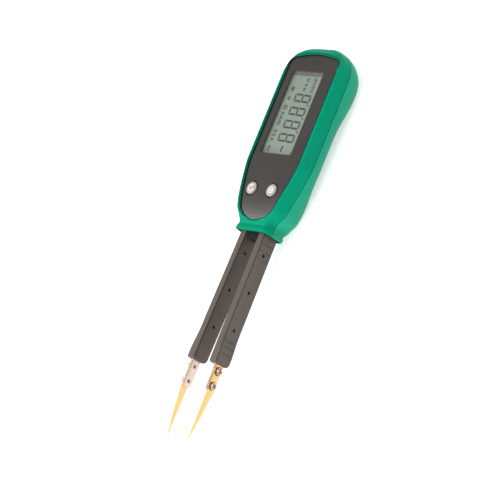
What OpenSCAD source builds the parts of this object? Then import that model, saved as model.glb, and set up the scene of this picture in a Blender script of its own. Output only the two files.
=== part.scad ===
// Tweezer-type component tester: a green two-shell housing with a display, and two sprung arms
// that end in gold contact blades. It lies on its back: +Z out of the display, +Y to the head,
// tips towards -Y, origin under the middle of the whole length, at the surface it rests on.

/* [Housing] */
// Length of the housing, from the collar's lip to the head end
housing_l = 87.8; // [84:0.1:96]
// Greatest width of the housing
housing_w = 35; // [33:0.5:40]
// Height from the back's flats to the top of the rim
housing_h = 20; // [19.5:0.1:24]
// Height of the seam between the two shells
seam_z = 13.1; // [13:0.1:13.6]
// Thickness of the shells' walls
wall_t = 1.6; // [1.2:0.1:1.8]
// Depth of the hollow grip across the back
grip_d = 3.3; // [1:0.1:3.6]
// Width of the neck above the collar
neck_w = 17.6; // [17.2:0.1:19]
// Length of the collar, from its lip to the neck
neck_l = 3.6; // [3.4:0.1:5]
// Width across the collar's lip
lip_w = 19.4; // [19:0.1:22]
// Height of the lip's lower edge
lip_z = 4.7; // [4.4:0.1:4.8]
// Height of the lip's upper edge
lip_top_z = 18; // [17.7:0.1:19]

/* [Fascia] */
// Width of the dark front plate
fascia_w = 29.5; // [26:0.1:30]
// Thickness of the front plate
fascia_t = 1.6; // [1:0.1:1.6]
// Drop of the plate's face below the rim
fascia_drop = 0.8; // [0.7:0.1:1.2]
// Distance from the lip to the plate's lower end
fascia_from = 5; // [4.5:0.1:6]
// Distance from the head end to the plate's upper end
fascia_in = 5.1; // [5:0.1:7]
// Gap round the plate and round the cover
fit_gap = 0.15; // [0.1:0.01:0.25]

/* [Display] */
// Width of the window in the plate
window_w = 18.8; // [18:0.1:20]
// Length of the window in the plate
window_l = 39.6; // [38:0.1:42.4]
// Distance from the plate's upper end to the window's upper end
window_in = 7.9; // [7.5:0.1:8.6]
// Distance from the middle line to the window's middle, towards the left
window_left = 1.9; // [0:0.1:2]
// Thickness of the clear window
lens_t = 0.6; // [0.4:0.1:0.8]
// Thickness of the liquid crystal panel
lcd_t = 2.2; // [1.8:0.1:2.4]
// Depth of the panel's face below the plate's face
lcd_drop = 1.35; // [0.7:0.05:1.4]

/* [Buttons] */
// Diameter of a button
button_d = 6.5; // [6:0.1:7.4]
// Distance between the two buttons' middles
button_pitch = 12.2; // [11.6:0.1:12.6]
// Distance from the lip to the buttons' middles
button_from = 18.3; // [18:0.1:20]
// Distance from the middle line to the pair's middle, towards the left
buttons_left = 0.8; // [0:0.1:1]
// Height of the buttons' tops above the plate
button_rise = 0.8; // [0.5:0.1:0.8]
// How far a button goes down
button_travel = 0.5; // [0.2:0.1:0.5]

/* [Board and cell] */
// Thickness of the circuit board
board_t = 1.6; // [1:0.1:1.6]
// Gap from the seam down to the board
board_drop = 0.2; // [0.2:0.1:0.4]
// Diameter of the coin cell
cell_d = 20; // [16:0.5:20]
// Thickness of the coin cell
cell_t = 3.2; // [1.6:0.1:3.2]
// Distance from the head end to the cell's middle
cell_in = 22.5; // [22:0.1:23]
// Thickness of the battery cover
cover_t = 1.6; // [1.2:0.1:1.8]

/* [Arms] */
// Length of an arm, from the collar's lip to its end
arm_l = 59; // [50:0.5:70]
// Thickness of an arm
arm_t = 3.2; // [3:0.1:3.4]
// Height of an arm, front to back
arm_h = 8.8; // [8:0.1:9]
// Height of the arms' middle above the rest surface
arm_z = 11.3; // [11:0.1:11.4]
// Distance between the two hinge lines
hinge_pitch = 10.9; // [10.6:0.1:11]
// Depth of the hinge lines behind the lip
hinge_in = 1.5; // [1.2:0.1:1.8]
// Angle that each arm stands open
arm_splay = 0.95; // [0.7:0.05:1.2]
// How much an arm's outer face swells at the finger grip
grip_swell = 0.85; // [0.4:0.05:1]
// Thickness of the spring strip
strip_t = 0.5; // [0.3:0.1:0.6]
// Width of the spring strip
strip_w = 5; // [4:0.1:5.4]

/* [Contacts] */
// Length of a blade beyond its arm
blade_l = 34.2; // [30:0.1:40]
// Width of a blade at its root
blade_w = 4; // [3:0.1:4.2]
// Thickness of a blade
blade_t = 0.5; // [0.4:0.05:0.7]
// How far a blade's tip leans in
blade_lean = 2.2; // [1.5:0.05:2.4]
// Length of a contact block beyond its arm
block_l = 11.5; // [11:0.1:13]
// Width of a contact block
block_w = 4.5; // [4.2:0.1:5]
// Distance between a block's two screws
screw_pitch = 6.6; // [6:0.1:7]
// Diameter of a blade screw's head
screw_head_d = 3.9; // [3.2:0.1:4]

/* [Hidden] */
$fn = 48;
gap = 0.05;          // between pieces that are fixed to each other
total_l = housing_l + arm_l + blade_l;
tip_y = -total_l / 2;
lip_y = tip_y + blade_l + arm_l;

// Stations along the housing, as distances from the lip
lip_l = 1.1;
valley = 0.7;        // how far the front dips between the lip and the rim
valley_l = 2.4;      // where that dip ends
rim_l = 5.2;         // where the rim starts
crown_from = 19;     // below this the rim and the plate curve down towards the collar
crown = 0.0055;
crown_top_in = 10.8; // and the plate curves down again this close to the head end
crown_top = 0.021;
neck_dip = 0.3;      // how far the back's neck is hollowed behind the lip
bulge_from = 2.6;
bulge_l = 7.6;       // where the lower bulge of the back reaches the rest plane
bulge_end = 10;
shoulder_w = 4;      // width that the lower bulge adds to the neck
shoulder_l = 6;
full_l = 32;         // where the sides reach their full width
grip_from = 32;
grip_in = 38.5;      // where the hollow grip starts to end, from the head end
grip_to = housing_l - grip_in;
crest_from = housing_l - 16.5;
head_l = 16.5;       // length of the rounded head
head_front_l = 10;
head_back_l = 12;
flat_dip = 0.35;     // the back's crests are cut flat by this much
end_cut = 0.05;      // the loft stops this far from the end, on a small flat
face_t = 3.8;        // front shell's thickness under the rim, pocket included
side_draft = 0.3;
rim_round = 1.5;     // radius of the rim's outer edge
ROUND = 16;          // segments across a shell
n_side = 2.8;        // squareness of the back's section
n_lip = 8;           // and of the collar's
n_head = 2.35;       // squareness of the head
n_front = 2;         // and of its front edge

// Levels
fascia_z = housing_h - fascia_drop;
pocket_z = fascia_z - fascia_t;
floor_z = housing_h - face_t;
board_z = seam_z - board_drop - board_t;
lens_z = fascia_z - gap - lens_t;
lcd_z = fascia_z - lcd_drop - lcd_t;

function clamp01(t) = min(max(t, 0), 1);
function ease(t) = 0.5 - 0.5 * cos(180 * clamp01(t));
function sign_pow(v, p) = sign(v) * pow(abs(v), p);
function super_fall(t, n) = pow(max(1 - pow(clamp01(t), n), 0), 1 / n);
function mix(a, b, t) = a + (b - a) * t;

// Half width of the housing at the seam, at h from the lip, with the surface moved in by o
function waist(h) =
    h < neck_l
    ? mix(lip_w, neck_w, ease((h - lip_l) / (neck_l - lip_l))) / 2
    : (neck_w + shoulder_w * ease((h - neck_l) / shoulder_l)
        + (housing_w - neck_w - shoulder_w)
        * (1 - pow(1 - clamp01((h - neck_l) / (full_l - neck_l)), 1.25))) / 2;
function thin_lip(h) = mix(0.8, 1, ease((h - 1) / 5));
function half_w(h, o) =
    (waist(h) - o * thin_lip(h)) * super_fall((h - crest_from) / (head_l - o), n_head);

// Height of the back at h
function back_z(h) =
    h < bulge_from
    ? lip_z + neck_dip * ease((h - lip_l) / (bulge_from - lip_l))
    : h < bulge_l
    ? (lip_z + neck_dip + flat_dip)
        * (1 - sqrt(1 - pow(1 - (h - bulge_from) / (bulge_l - bulge_from), 2))) - flat_dip
    : mix(-flat_dip, grip_d, ease((h - bulge_end) / (grip_from - bulge_end))
        * (1 - ease((h - grip_to) / (crest_from - grip_to))));
function back_depth(h, o) =
    (seam_z - o * thin_lip(h) - back_z(h))
    * super_fall((h - housing_l + head_back_l) / (head_back_l - o), 2.2);

// Height of the front at h: the lip, a shallow valley, then the rim, crowned at its lower end
function foot_fall(h) = crown * pow(max(crown_from - h, 0), 2);
function front_z(h) =
    mix(lip_top_z - valley * ease((h - lip_l) / (valley_l - lip_l)), housing_h - foot_fall(h),
        ease((h - valley_l) / (rim_l - valley_l)));
function inner_z(h) = mix(front_z(h) - 1.5, floor_z, ease((h - valley_l) / (rim_l - valley_l)));
function front_depth(h, o) =
    ((o > 0 ? inner_z(h) : front_z(h)) - seam_z)
    * super_fall((h - housing_l + head_front_l) / (head_front_l - o), n_front);
function front_round(h) =
    rim_round + 1.6 * ease((h - 1) / 2.5) * (1 - ease((h - 6) / 8))
    + 2.6 * ease((h - crest_from - 1) / (head_l - 4));

// One section across a shell, from the right side of the seam to the left side
function back_section(h, o) =
    let (a = half_w(h, o), b = back_depth(h, o), n = mix(n_lip, n_side, ease((h - 1) / 7)))
    [for (j = [0:ROUND]) let (c = cos(180 * j / ROUND), s = sin(180 * j / ROUND))
        [a * sign_pow(c, 2 / n), max(seam_z - b * pow(abs(s), 2 / n), o)]];
function front_section(h, o) =
    let (
        a = half_w(h, o),
        b = front_depth(h, o),
        r = max(min(front_round(h) - o * 0.6, b * 0.9, a * 0.9), min(a, b) * 0.2),
        d = side_draft * b / (housing_h - seam_z),
        arc = [for (k = [0:ROUND / 2 - 2])
            [a - d - r * (1 - cos(90 * k / (ROUND / 2 - 2))),
             seam_z + b - r * (1 - sin(90 * k / (ROUND / 2 - 2)))]],
        right = concat([[a, seam_z]], arc)
    )
    concat(right, [[0, seam_z + b]], [for (k = [len(right) - 1:-1:0]) [-right[k][0], right[k][1]]]);
function section(front, h, o) = front ? front_section(h, o) : back_section(h, o);

// Stations closer together at the collar and round the head
function stations(o) = concat(
    [for (i = [0:12]) 9 * pow(i / 12, 1.15)],
    [for (i = [1:15]) mix(9, crest_from, i / 15)],
    [for (i = [1:11]) crest_from + (head_l - o - end_cut) * sin(90 * i / 11)]
);
function within(list, low, high) = [for (v = list) if (v > low && v < high) v];
function ring(front, h, o) = [for (p = section(front, h, o)) [p[0], lip_y + h, p[1]]];

// The skin of a shell between two depths under its surface. A closed skin is a tray with the
// head end in it; an open one is a length of that tray, from low to high.
module skin(front, outer_o, inner_o, low = 0, high = 0) {
    closed = high == 0;
    spots_out = closed ? stations(outer_o) : concat([low], within(stations(0), low, high), [high]);
    spots_in = closed ? stations(inner_o) : spots_out;
    rows = len(spots_out);
    w = len(section(front, 20, 0));
    points = concat(
        [for (h = spots_out) for (p = ring(front, h, outer_o)) p],
        [for (h = spots_in) for (p = ring(front, h, inner_o)) p]
    );
    base = rows * w;
    last = (rows - 1) * w;
    // A quad a, b, c, d as two triangles, clockwise from outside on the front shell
    function quad(a, b, c, d) = [[a, b, c], [a, c, d]];
    outer = [for (i = [0:rows - 2]) for (j = [0:w - 2])
        for (t = quad(i * w + j, i * w + j + 1, (i + 1) * w + j + 1, (i + 1) * w + j)) t];
    inner = [for (t = outer) [t[2] + base, t[1] + base, t[0] + base]];
    mouth = [for (j = [0:w - 2]) for (t = quad(j + 1, j, base + j, base + j + 1)) t];
    sides = [for (i = [0:rows - 2]) for (t = concat(
        quad(i * w, (i + 1) * w, base + (i + 1) * w, base + i * w),
        quad((i + 1) * w + w - 1, i * w + w - 1, base + i * w + w - 1, base + (i + 1) * w + w - 1)
    )) t];
    head = closed
        ? concat(
            [for (j = [1:w - 2]) [last, last + j, last + j + 1]],
            [for (j = [1:w - 2]) [base + last, base + last + j + 1, base + last + j]],
            quad(last, last + w - 1, base + last + w - 1, base + last))
        : [for (j = [0:w - 2])
            for (t = quad(last + j, last + j + 1, base + last + j + 1, base + last + j)) t];
    faces = concat(outer, inner, mouth, sides, head);
    polyhedron(points, front ? faces : [for (t = faces) [t[2], t[1], t[0]]]);
}

// Outline of the front plate, grown by g: a round foot, tapered then straight sides, a bowed top
fascia_r = 4;
fascia_foot_l = 6;
fascia_taper_l = 26;
fascia_foot = 0.563;         // the round foot's share of the width
function foot_half(hw, t) =
    hw * (fascia_foot * sqrt(1 - pow(1 - clamp01(t * fascia_taper_l / fascia_foot_l), 2))
        + (1 - fascia_foot) * (1 - pow(1 - t, 1.3)));
function fascia_half(g) =
    let (hw = fascia_w / 2 + g, low = fascia_from - g, top = fascia_to + g,
         r = fascia_r + g, bow = 1.4, cx = hw - r)
    concat(
        [for (i = [0:16]) let (t = pow(i / 16, 2.2))
            [foot_half(hw, t), lip_y + low + fascia_taper_l * t]],
        [for (i = [0:6]) [cx + r * cos(15 * i), lip_y + top - bow - r * (1 - sin(15 * i))]],
        [for (i = [1:3]) let (x = cx * (1 - i / 4)) [x, lip_y + top - bow * pow(x / cx, 2)]],
        [[0, lip_y + top]]
    );
function mirrored(half) = concat(half,
    [for (i = [len(half) - 2:-1:1]) [-half[i][0], half[i][1]]]);

// A plate with round corners, its middle at the origin
module slab(w, l, t, r) {
    corner = [for (i = [0:5]) [cos(18 * i), sin(18 * i)]];
    spots = [for (q = [0:3]) for (p = corner)
        let (c = cos(90 * q), s = sin(90 * q), x = [1, -1, -1, 1][q], y = [1, 1, -1, -1][q])
        [x * (w / 2 - r) + r * (p[0] * c - p[1] * s), y * (l / 2 - r) + r * (p[0] * s + p[1] * c)]];
    linear_extrude(t) polygon(spots);
}
module block(low, high) {
    translate(low) cube(high - low);
}

/* Places in the housing */
fascia_to = housing_l - fascia_in;
window_from = fascia_to - window_in - window_l;
cell_from = housing_l - cell_in;
window_y = lip_y + window_from + window_l / 2;
window_x = -window_left;
button_y = lip_y + button_from;
function button_x(x) = x * button_pitch / 2 - buttons_left;
cell_y = lip_y + cell_from;
lcd_w = window_w + 1.6;
lcd_l = window_l + 1;
board_w = 21.6;
board_wide = 26.2;
board_from = 15;
board_to = housing_l - 7.9;
post_r = 1.5;
post_pin_r = 0.6;
posts = [[2.3, window_from - 3], [8, window_from + window_l + 3.6]];
boss_r = 2.1;
flange_w = 0.55;             // the buttons' flange under the plate
move_gap = 0.35;
boss_x = housing_w / 2 - 5.9;
boss_y = lip_y + window_from - 5.1;
foot_screw_y = lip_y + 8.5;
case_screw_r = 1;
case_head_r = 1.9;
case_head_t = 1.2;
boss_z = grip_d + 2.4;
boss_head_z = boss_z + 1.5;
foot_head_z = 2.2;
screw_tip_z = floor_z - 0.9;
cover_w = 24.4;
cover_to = cell_from + 12.2;
cover_from = cell_from - 15.3;
cover_l = cover_to - cover_from;
cover_y = lip_y + (cover_from + cover_to) / 2;
cover_r = 3;
ledge_w = 1.3;
ledge_t = 1.1;
cover_screw_y = lip_y + cover_from + 2;
cover_screw_r = 0.8;
cover_head_r = 1.55;
cover_head_z = grip_d - 0.1;
cover_head_t = 0.75;
slot_w = 0.44;         // cross slots in the screws
slot_depth = 0.45;
ledge_out = 1.2;       // how far the cover's ledge goes outside the cover
cover_screw_tip_z = seam_z - 3.5;
cell_top_z = board_z - 0.9;
cell_z = cell_top_z - cell_t;
holder_t = 1.3;
clip_t = 0.35;
clip_w = 4;

/* Places in the arms */
hinge_x = hinge_pitch / 2;
hinge_y = lip_y + hinge_in;
arm_reach = arm_l + hinge_in;
arm_root = 0.4;              // the moulding goes this far past the hinge line
carrier_y = hinge_y + 1;
carrier_l = 12;
carrier_w = neck_w - 2 * wall_t - 0.4;
carrier_top_z = arm_z + 4;
carrier_step_z = arm_z + 2.6;
carrier_step = 1.5;
carrier_z = arm_z - 4.3;
tongue_l = 5;
tongue_w = 6.1;
strip_in = 8;                // length of strip held in the carrier
strip_lap = 10;              // length of strip that lies along the block's tang
tang_t = 0.9;
block_t = 1.3;
tang_x = strip_t / 2 + gap;
block_x = tang_x + tang_t;
block_hole_r = 0.8;
screw_shank_r = 0.75;
screw_head_t = 0.95;
screw_spots = [for (i = [0, 1]) -arm_reach - 2.6 - i * screw_pitch];
wire_r = 0.5;
wire_z = board_z + board_t + wire_r;
rivet_r = 0.7;
rivet_in = 4.6;
arm_low_z = arm_z - arm_h / 2;

// ---------------------------------------------------------------- housing

module front_shell() {
    color([0.03, 0.62, 0.45]) difference() {
        union() {
            skin(true, 0, wall_t);
            for (x = [-1, 1]) {
                translate([x * boss_x, boss_y, seam_z])
                    cylinder(r = boss_r, h = floor_z + 0.3 - seam_z);
                for (p = posts) translate([x * p[0], lip_y + p[1], board_z]) {
                    translate([0, 0, board_t]) cylinder(r = post_r, h = floor_z + 0.3 - board_z - board_t);
                    cylinder(r = post_pin_r, h = board_t + 1);
                }
            }
            translate([0, foot_screw_y, carrier_top_z + gap])
                cylinder(r = boss_r, h = floor_z + 0.3 - carrier_top_z - gap);
        }
        translate([0, 0, pocket_z]) linear_extrude(housing_h)
            polygon(mirrored(fascia_half(fit_gap)));
        translate([window_x, window_y, floor_z - 1])
            slab(lcd_w + 4 * gap, lcd_l + 4 * gap, face_t + 2, 0.2);
        for (x = [-1, 1]) {
            translate([button_x(x), button_y, floor_z - 1])
                cylinder(r = button_d / 2 + flange_w + move_gap, h = face_t + 2);
            translate([x * boss_x, boss_y, seam_z - 1])
                cylinder(r = case_screw_r + gap, h = screw_tip_z + 0.2 - seam_z + 1);
        }
        translate([0, foot_screw_y, seam_z])
            cylinder(r = case_screw_r + gap, h = screw_tip_z + 0.2 - seam_z);
    }
}

module rear_shell() {
    color([0.12, 0.66, 0.5]) difference() {
        union() {
            difference() {
                skin(false, 0, wall_t);
                translate([0, cover_y, -1])
                    slab(cover_w + 2 * fit_gap, cover_l + 2 * fit_gap, seam_z, cover_r);
            }
            cover_ledge();
            for (x = [-1, 1])
                translate([x * boss_x, boss_y, boss_z]) cylinder(r = boss_r, h = seam_z - boss_z);
            translate([0, foot_screw_y, wall_t - 0.3])
                cylinder(r = boss_r, h = carrier_z - gap - wall_t + 0.3);
        }
        for (x = [-1, 1]) {
            translate([x * boss_x, boss_y, -1]) cylinder(r = case_head_r + gap, h = boss_head_z + 1);
            translate([x * boss_x, boss_y, -1]) cylinder(r = case_screw_r + gap, h = seam_z + 2);
        }
        translate([0, foot_screw_y, -1]) cylinder(r = case_head_r + gap, h = foot_head_z + 1);
        translate([0, foot_screw_y, -1]) cylinder(r = case_screw_r + gap, h = seam_z);
        translate([0, cover_screw_y, -1])
            cylinder(r = cover_screw_r + gap, h = cover_screw_tip_z + 1.1);
    }
}
// The ledge that the cover lies on, with the boss for its screw
module cover_ledge() {
    difference() {
        union() {
            intersection() {
                skin(false, cover_t + gap, cover_t + gap + ledge_t,
                     cover_from - ledge_out, cover_to + ledge_out);
                translate([0, cover_y, -1])
                    slab(cover_w + 2 * ledge_out, cover_l + 2 * ledge_out, seam_z, cover_r + 1);
            }
            translate([0, cover_screw_y, grip_d + cover_t])
                cylinder(r = 1.5, h = cover_screw_tip_z + 0.5 - grip_d - cover_t);
        }
        translate([0, cover_y + ledge_w, -1])
            slab(cover_w - 2 * ledge_w, cover_l - 4 * ledge_w, seam_z + 1, cover_r - 1);
    }
}

module battery_cover() {
    color([0.12, 0.62, 0.47]) difference() {
        intersection() {
            skin(false, 0, cover_t, cover_from - 1, cover_to + 1);
            translate([0, cover_y, -1]) slab(cover_w, cover_l, seam_z, cover_r);
        }
        translate([0, cover_screw_y, -1]) cylinder(r = cover_screw_r + 0.1, h = seam_z);
        translate([0, cover_screw_y, -1])
            cylinder(r = cover_head_r + gap, h = 1 + cover_head_z + cover_head_t + gap);
    }
}

module battery_cover_screw() {
    color([0.75, 0.74, 0.72]) difference() {
        union() {
            translate([0, cover_screw_y, cover_head_z]) cylinder(r = cover_head_r, h = cover_head_t);
            translate([0, cover_screw_y, grip_d])
                cylinder(r = cover_screw_r, h = cover_screw_tip_z - grip_d);
        }
        cross_slot([0, cover_screw_y, cover_head_z], 1.2 * cover_head_r);
    }
}

// A cross recess that opens towards -Z at p
module cross_slot(p, l) {
    translate(p) for (a = [0, 90]) rotate(a)
        translate([-l / 2, -slot_w / 2, -1]) cube([l, slot_w, 1 + slot_depth]);
}

module housing_screws() {
    color([0.7, 0.7, 0.7]) {
        for (x = [-1, 1]) case_screw([x * boss_x, boss_y], boss_head_z);
        case_screw([0, foot_screw_y], foot_head_z);
    }
}
module case_screw(at, head_z) {
    difference() {
        union() {
            translate([at[0], at[1], head_z - case_head_t]) cylinder(r = case_head_r, h = case_head_t);
            translate([at[0], at[1], head_z]) cylinder(r = case_screw_r, h = screw_tip_z - head_z);
        }
        cross_slot([at[0], at[1], head_z - case_head_t], 1.2 * case_head_r);
    }
}

// Side view of the plate: its face curves down at the foot and again at the top
module plate_side() {
    function face(h) =
        fascia_z - foot_fall(h) - crown_top * pow(max(h - housing_l + crown_top_in, 0), 2);
    low = fascia_from - 1;
    spots = concat([for (i = [0:7]) mix(low, crown_from, i / 7)],
        [for (i = [0:6]) mix(housing_l - crown_top_in, fascia_to + 1, i / 6)]);
    rotate([90, 0, 90]) translate([0, 0, -housing_w]) linear_extrude(2 * housing_w)
        polygon(concat([[lip_y + fascia_to + 1, 0], [lip_y + low, 0]],
            [for (h = spots) [lip_y + h, face(h)]]));
}
module fascia() {
    color([0.23, 0.21, 0.19]) difference() {
        intersection() {
            translate([0, 0, pocket_z]) linear_extrude(fascia_t) polygon(mirrored(fascia_half(0)));
            plate_side();
        }
        translate([window_x, window_y, pocket_z - 1]) slab(window_w, window_l, fascia_t + 2, 1);
        for (x = [-1, 1]) translate([button_x(x), button_y, pocket_z - 1])
            cylinder(r = button_d / 2 + fit_gap, h = fascia_t + 2);
    }
}

module display_lens() {
    color([0.7, 0.75, 0.72, 0.4]) translate([window_x, window_y, lens_z])
        slab(window_w - 2 * gap, window_l - 2 * gap, lens_t, 1 - gap);
}

// Two sheets of glass: the lower one is wider, and the upper one fills the plate's window
module lcd_panel() {
    color([0.66, 0.72, 0.66]) {
        translate([window_x - lcd_w / 2, window_y - lcd_l / 2, lcd_z]) cube([lcd_w, lcd_l, lcd_t / 2]);
        translate([window_x, window_y, lcd_z])
            slab(window_w - 4 * gap, window_l - 4 * gap, lcd_t, 1 - 2 * gap);
    }
}

module display_holder() {
    frame_t = 0.8;
    color([0.85, 0.85, 0.82]) difference() {
        translate([window_x - lcd_w / 2 - frame_t, window_y - lcd_l / 2 - frame_t, board_z + board_t])
            cube([lcd_w + 2 * frame_t, lcd_l + 2 * frame_t, floor_z - gap - board_z - board_t]);
        translate([window_x - lcd_w / 2 - gap, window_y - lcd_l / 2 - gap, board_z])
            cube([lcd_w + 2 * gap, lcd_l + 2 * gap, housing_h]);
    }
}

module contact_strips() {
    color([0.9, 0.6, 0.65]) for (x = [-1, 1])
        translate([window_x + x * (lcd_w / 2 - 1.4) - 1, window_y - lcd_l / 2 + 1, board_z + board_t])
            cube([2, lcd_l - 2, lcd_z - board_z - board_t]);
}

module main_board() {
    step_from = window_from - 2;
    color([0.1, 0.36, 0.2]) difference() {
        union() {
            block([-board_w / 2, lip_y + board_from, board_z],
                  [board_w / 2, lip_y + board_to, board_z + board_t]);
            block([-board_wide / 2, lip_y + step_from, board_z],
                  [board_wide / 2, lip_y + board_to - 3, board_z + board_t]);
        }
        for (x = [-1, 1]) {
            for (p = posts) translate([x * p[0], lip_y + p[1], board_z - 1])
                cylinder(r = post_pin_r + gap, h = board_t + 2);
            translate([x * boss_x, boss_y, board_z - 1]) cylinder(r = boss_r + 0.3, h = board_t + 2);
        }
    }
}

// Under the board: middle, place between its foot and the cell, width, length, height
chips = [[0, 0.43, 10, 10, 1.2], [-5.5, 0.19, 4, 5, 1.1], [5, 0.19, 5, 4, 1.1],
         [0, 0.61, 2.4, 1.6, 0.8], [5.4, 0.61, 2.4, 1.6, 0.8]];
module board_chips() {
    color([0.1, 0.1, 0.11]) {
        for (c = chips)
            translate([c[0] - c[2] / 2, lip_y + mix(board_from, cell_from, c[1]) - c[3] / 2,
                       board_z - c[4]])
                cube([c[2], c[3], c[4]]);
    }
}

switch_t = 1.6;
switch_w = 4.4;
plunger_t = 0.4;
plunger_r = 1.1;
stem_z = board_z + board_t + switch_t + plunger_t + button_travel + 0.05;
module button_switches() {
    color([0.72, 0.72, 0.7]) for (x = [-1, 1])
        translate([button_x(x), button_y, board_z + board_t]) {
            translate([-switch_w / 2, -switch_w / 2, 0]) cube([switch_w, switch_w, switch_t]);
            cylinder(r = plunger_r, h = switch_t + plunger_t);
        }
}

module coin_cell() {
    color([0.8, 0.8, 0.8]) translate([0, cell_y, cell_z]) {
        cylinder(r = cell_d / 2, h = cell_t * 0.8);
        cylinder(r = cell_d / 2 - 1.2, h = cell_t);
    }
}
module cell_holder() {
    color([0.12, 0.12, 0.12]) difference() {
        translate([0, cell_y, cell_z + 0.4])
            cylinder(r = cell_d / 2 + gap + holder_t, h = board_z - cell_z - 0.4);
        translate([0, cell_y, cell_z - 1]) cylinder(r = cell_d / 2 + gap, h = board_z);
    }
}
module cell_contact() {
    color([0.85, 0.8, 0.6]) translate([0, cell_y, cell_top_z])
        cylinder(r = 4, h = board_z - cell_top_z);
}
module cell_clip() {
    leg_x = cell_d / 2 + gap + holder_t + gap;
    color([0.82, 0.82, 0.84]) {
        block([-leg_x - clip_t, cell_y - clip_w / 2, cell_z - clip_t],
              [leg_x + clip_t, cell_y + clip_w / 2, cell_z]);
        for (x = [-1, 1])
            block([min(x * leg_x, x * (leg_x + clip_t)), cell_y - clip_w / 2, cell_z - clip_t],
                  [max(x * leg_x, x * (leg_x + clip_t)), cell_y + clip_w / 2, board_z]);
    }
}

// The block inside the collar that carries both arms, with its tongue between them
module arm_carrier() {
    color([0.16, 0.14, 0.13]) difference() {
        union() {
            block([-carrier_w / 2, carrier_y, carrier_z],
                  [carrier_w / 2, carrier_y + carrier_l, carrier_step_z]);
            block([carrier_step - carrier_w / 2, carrier_y, carrier_z],
                  [carrier_w / 2 - carrier_step, carrier_y + carrier_l, carrier_top_z]);
            block([-tongue_w / 2, carrier_y - tongue_l, arm_low_z + 0.9],
                  [tongue_w / 2, carrier_y + 1, arm_low_z + arm_h - 1.2]);
        }
        translate([0, foot_screw_y, 0]) cylinder(r = case_screw_r + gap, h = housing_h);
        for (x = [-1, 1]) {
            at_arm(x) block([-strip_t / 2 - gap, 0, arm_z - strip_w / 2 - gap],
                            [strip_t / 2 + gap, strip_in + gap, arm_z + strip_w / 2 + gap]);
            translate([x * hinge_x, hinge_y + strip_in - 0.5, wire_z]) rotate([-90, 0, 0])
                cylinder(r = wire_r + 2 * gap, h = carrier_l);
            rivet_hole(x, rivet_r + gap, carrier_w);
        }
    }
}
module rivet_hole(x, r, l) {
    translate([x * (hinge_x - 1.9), hinge_y + rivet_in, arm_z]) rotate([0, x * 90, 0])
        cylinder(r = r, h = l);
}
module strip_rivets() {
    color([0.75, 0.75, 0.75]) for (x = [-1, 1])
        rivet_hole(x, rivet_r, carrier_w / 2 - hinge_x + 1.9);
}
module signal_wires() {
    color([0.7, 0.12, 0.1]) for (x = [-1, 1])
        translate([x * hinge_x, hinge_y + strip_in + 2 * gap, wire_z]) rotate([-90, 0, 0])
            cylinder(r = wire_r, h = lip_y + board_from + 0.8 - hinge_y - strip_in);
}

module button(x) {
    r = button_d / 2;
    top = fascia_z + button_rise;
    color([0.72, 0.68, 0.67]) translate([button_x(x), button_y, 0]) {
        rotate_extrude() polygon(concat(
            [[0, pocket_z - 0.9], [r, pocket_z - 0.9]],
            [for (i = [0:5]) [r - 0.5 * (1 - cos(18 * i)), top - 0.7 + 0.5 * sin(18 * i)]],
            [[r * 0.6, top - 0.1], [r * 0.3, top], [0, top]]
        ));
        translate([0, 0, pocket_z - 0.95]) cylinder(r = r + flange_w, h = 0.65);
        translate([0, 0, stem_z]) cylinder(r = 1.5, h = pocket_z - 0.9 - stem_z + 0.1);
    }
}
module left_button() { button(-1); }
module right_button() { button(1); }

// ---------------------------------------------------------------- arms

// Places a shape in an arm's own frame: its hinge line at the origin, the arm along -Y,
// its outer side towards +X, mirrored for the left arm
module at_arm(x) {
    mirror([x < 0 ? 1 : 0, 0, 0]) translate([hinge_x, hinge_y, 0]) rotate(arm_splay) children();
}

// Outer face of an arm at a distance s from the hinge line
swell_from = 40;
swell_top = 52;
function outer_face(s) =
    arm_t / 2 + grip_swell * ease((s - swell_from) / (swell_top - swell_from))
    - 0.5 * grip_swell * ease((s - swell_top - 1) / (arm_reach - swell_top - 1));
module arm_cover(x) {
    inner = [[-arm_t / 2, arm_root], [-arm_t / 2, -arm_reach]];
    outer = [for (i = [0:16]) let (s = mix(arm_reach, swell_from, i / 16)) [outer_face(s), -s]];
    color([0.3, 0.27, 0.25]) at_arm(x) difference() {
        intersection() {
            translate([0, 0, arm_low_z]) linear_extrude(arm_h)
                polygon(concat(inner, outer, [[arm_t / 2, arm_root]]));
            arm_side();
        }
        // slot for the spring strip, then the pocket for the block's tang
        block([-strip_t / 2 - gap, -arm_reach + 0.5, arm_z - strip_w / 2 - gap],
              [strip_t / 2 + gap, arm_root + 1, arm_z + strip_w / 2 + gap]);
        block([-strip_t / 2 - gap, -arm_reach - 1, arm_z - block_w / 2 - gap],
              [block_x + gap, -arm_reach + strip_lap + gap, arm_z + block_w / 2 + gap]);
        for (s = [10, 27.2, 44.5]) pin_holes(s);
        for (s = [5, 8.2, 12]) groove(s, 0.3);
        for (s = [50.6, 52.8, 55.5]) groove(s, 0.35);
    }
}
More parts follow.
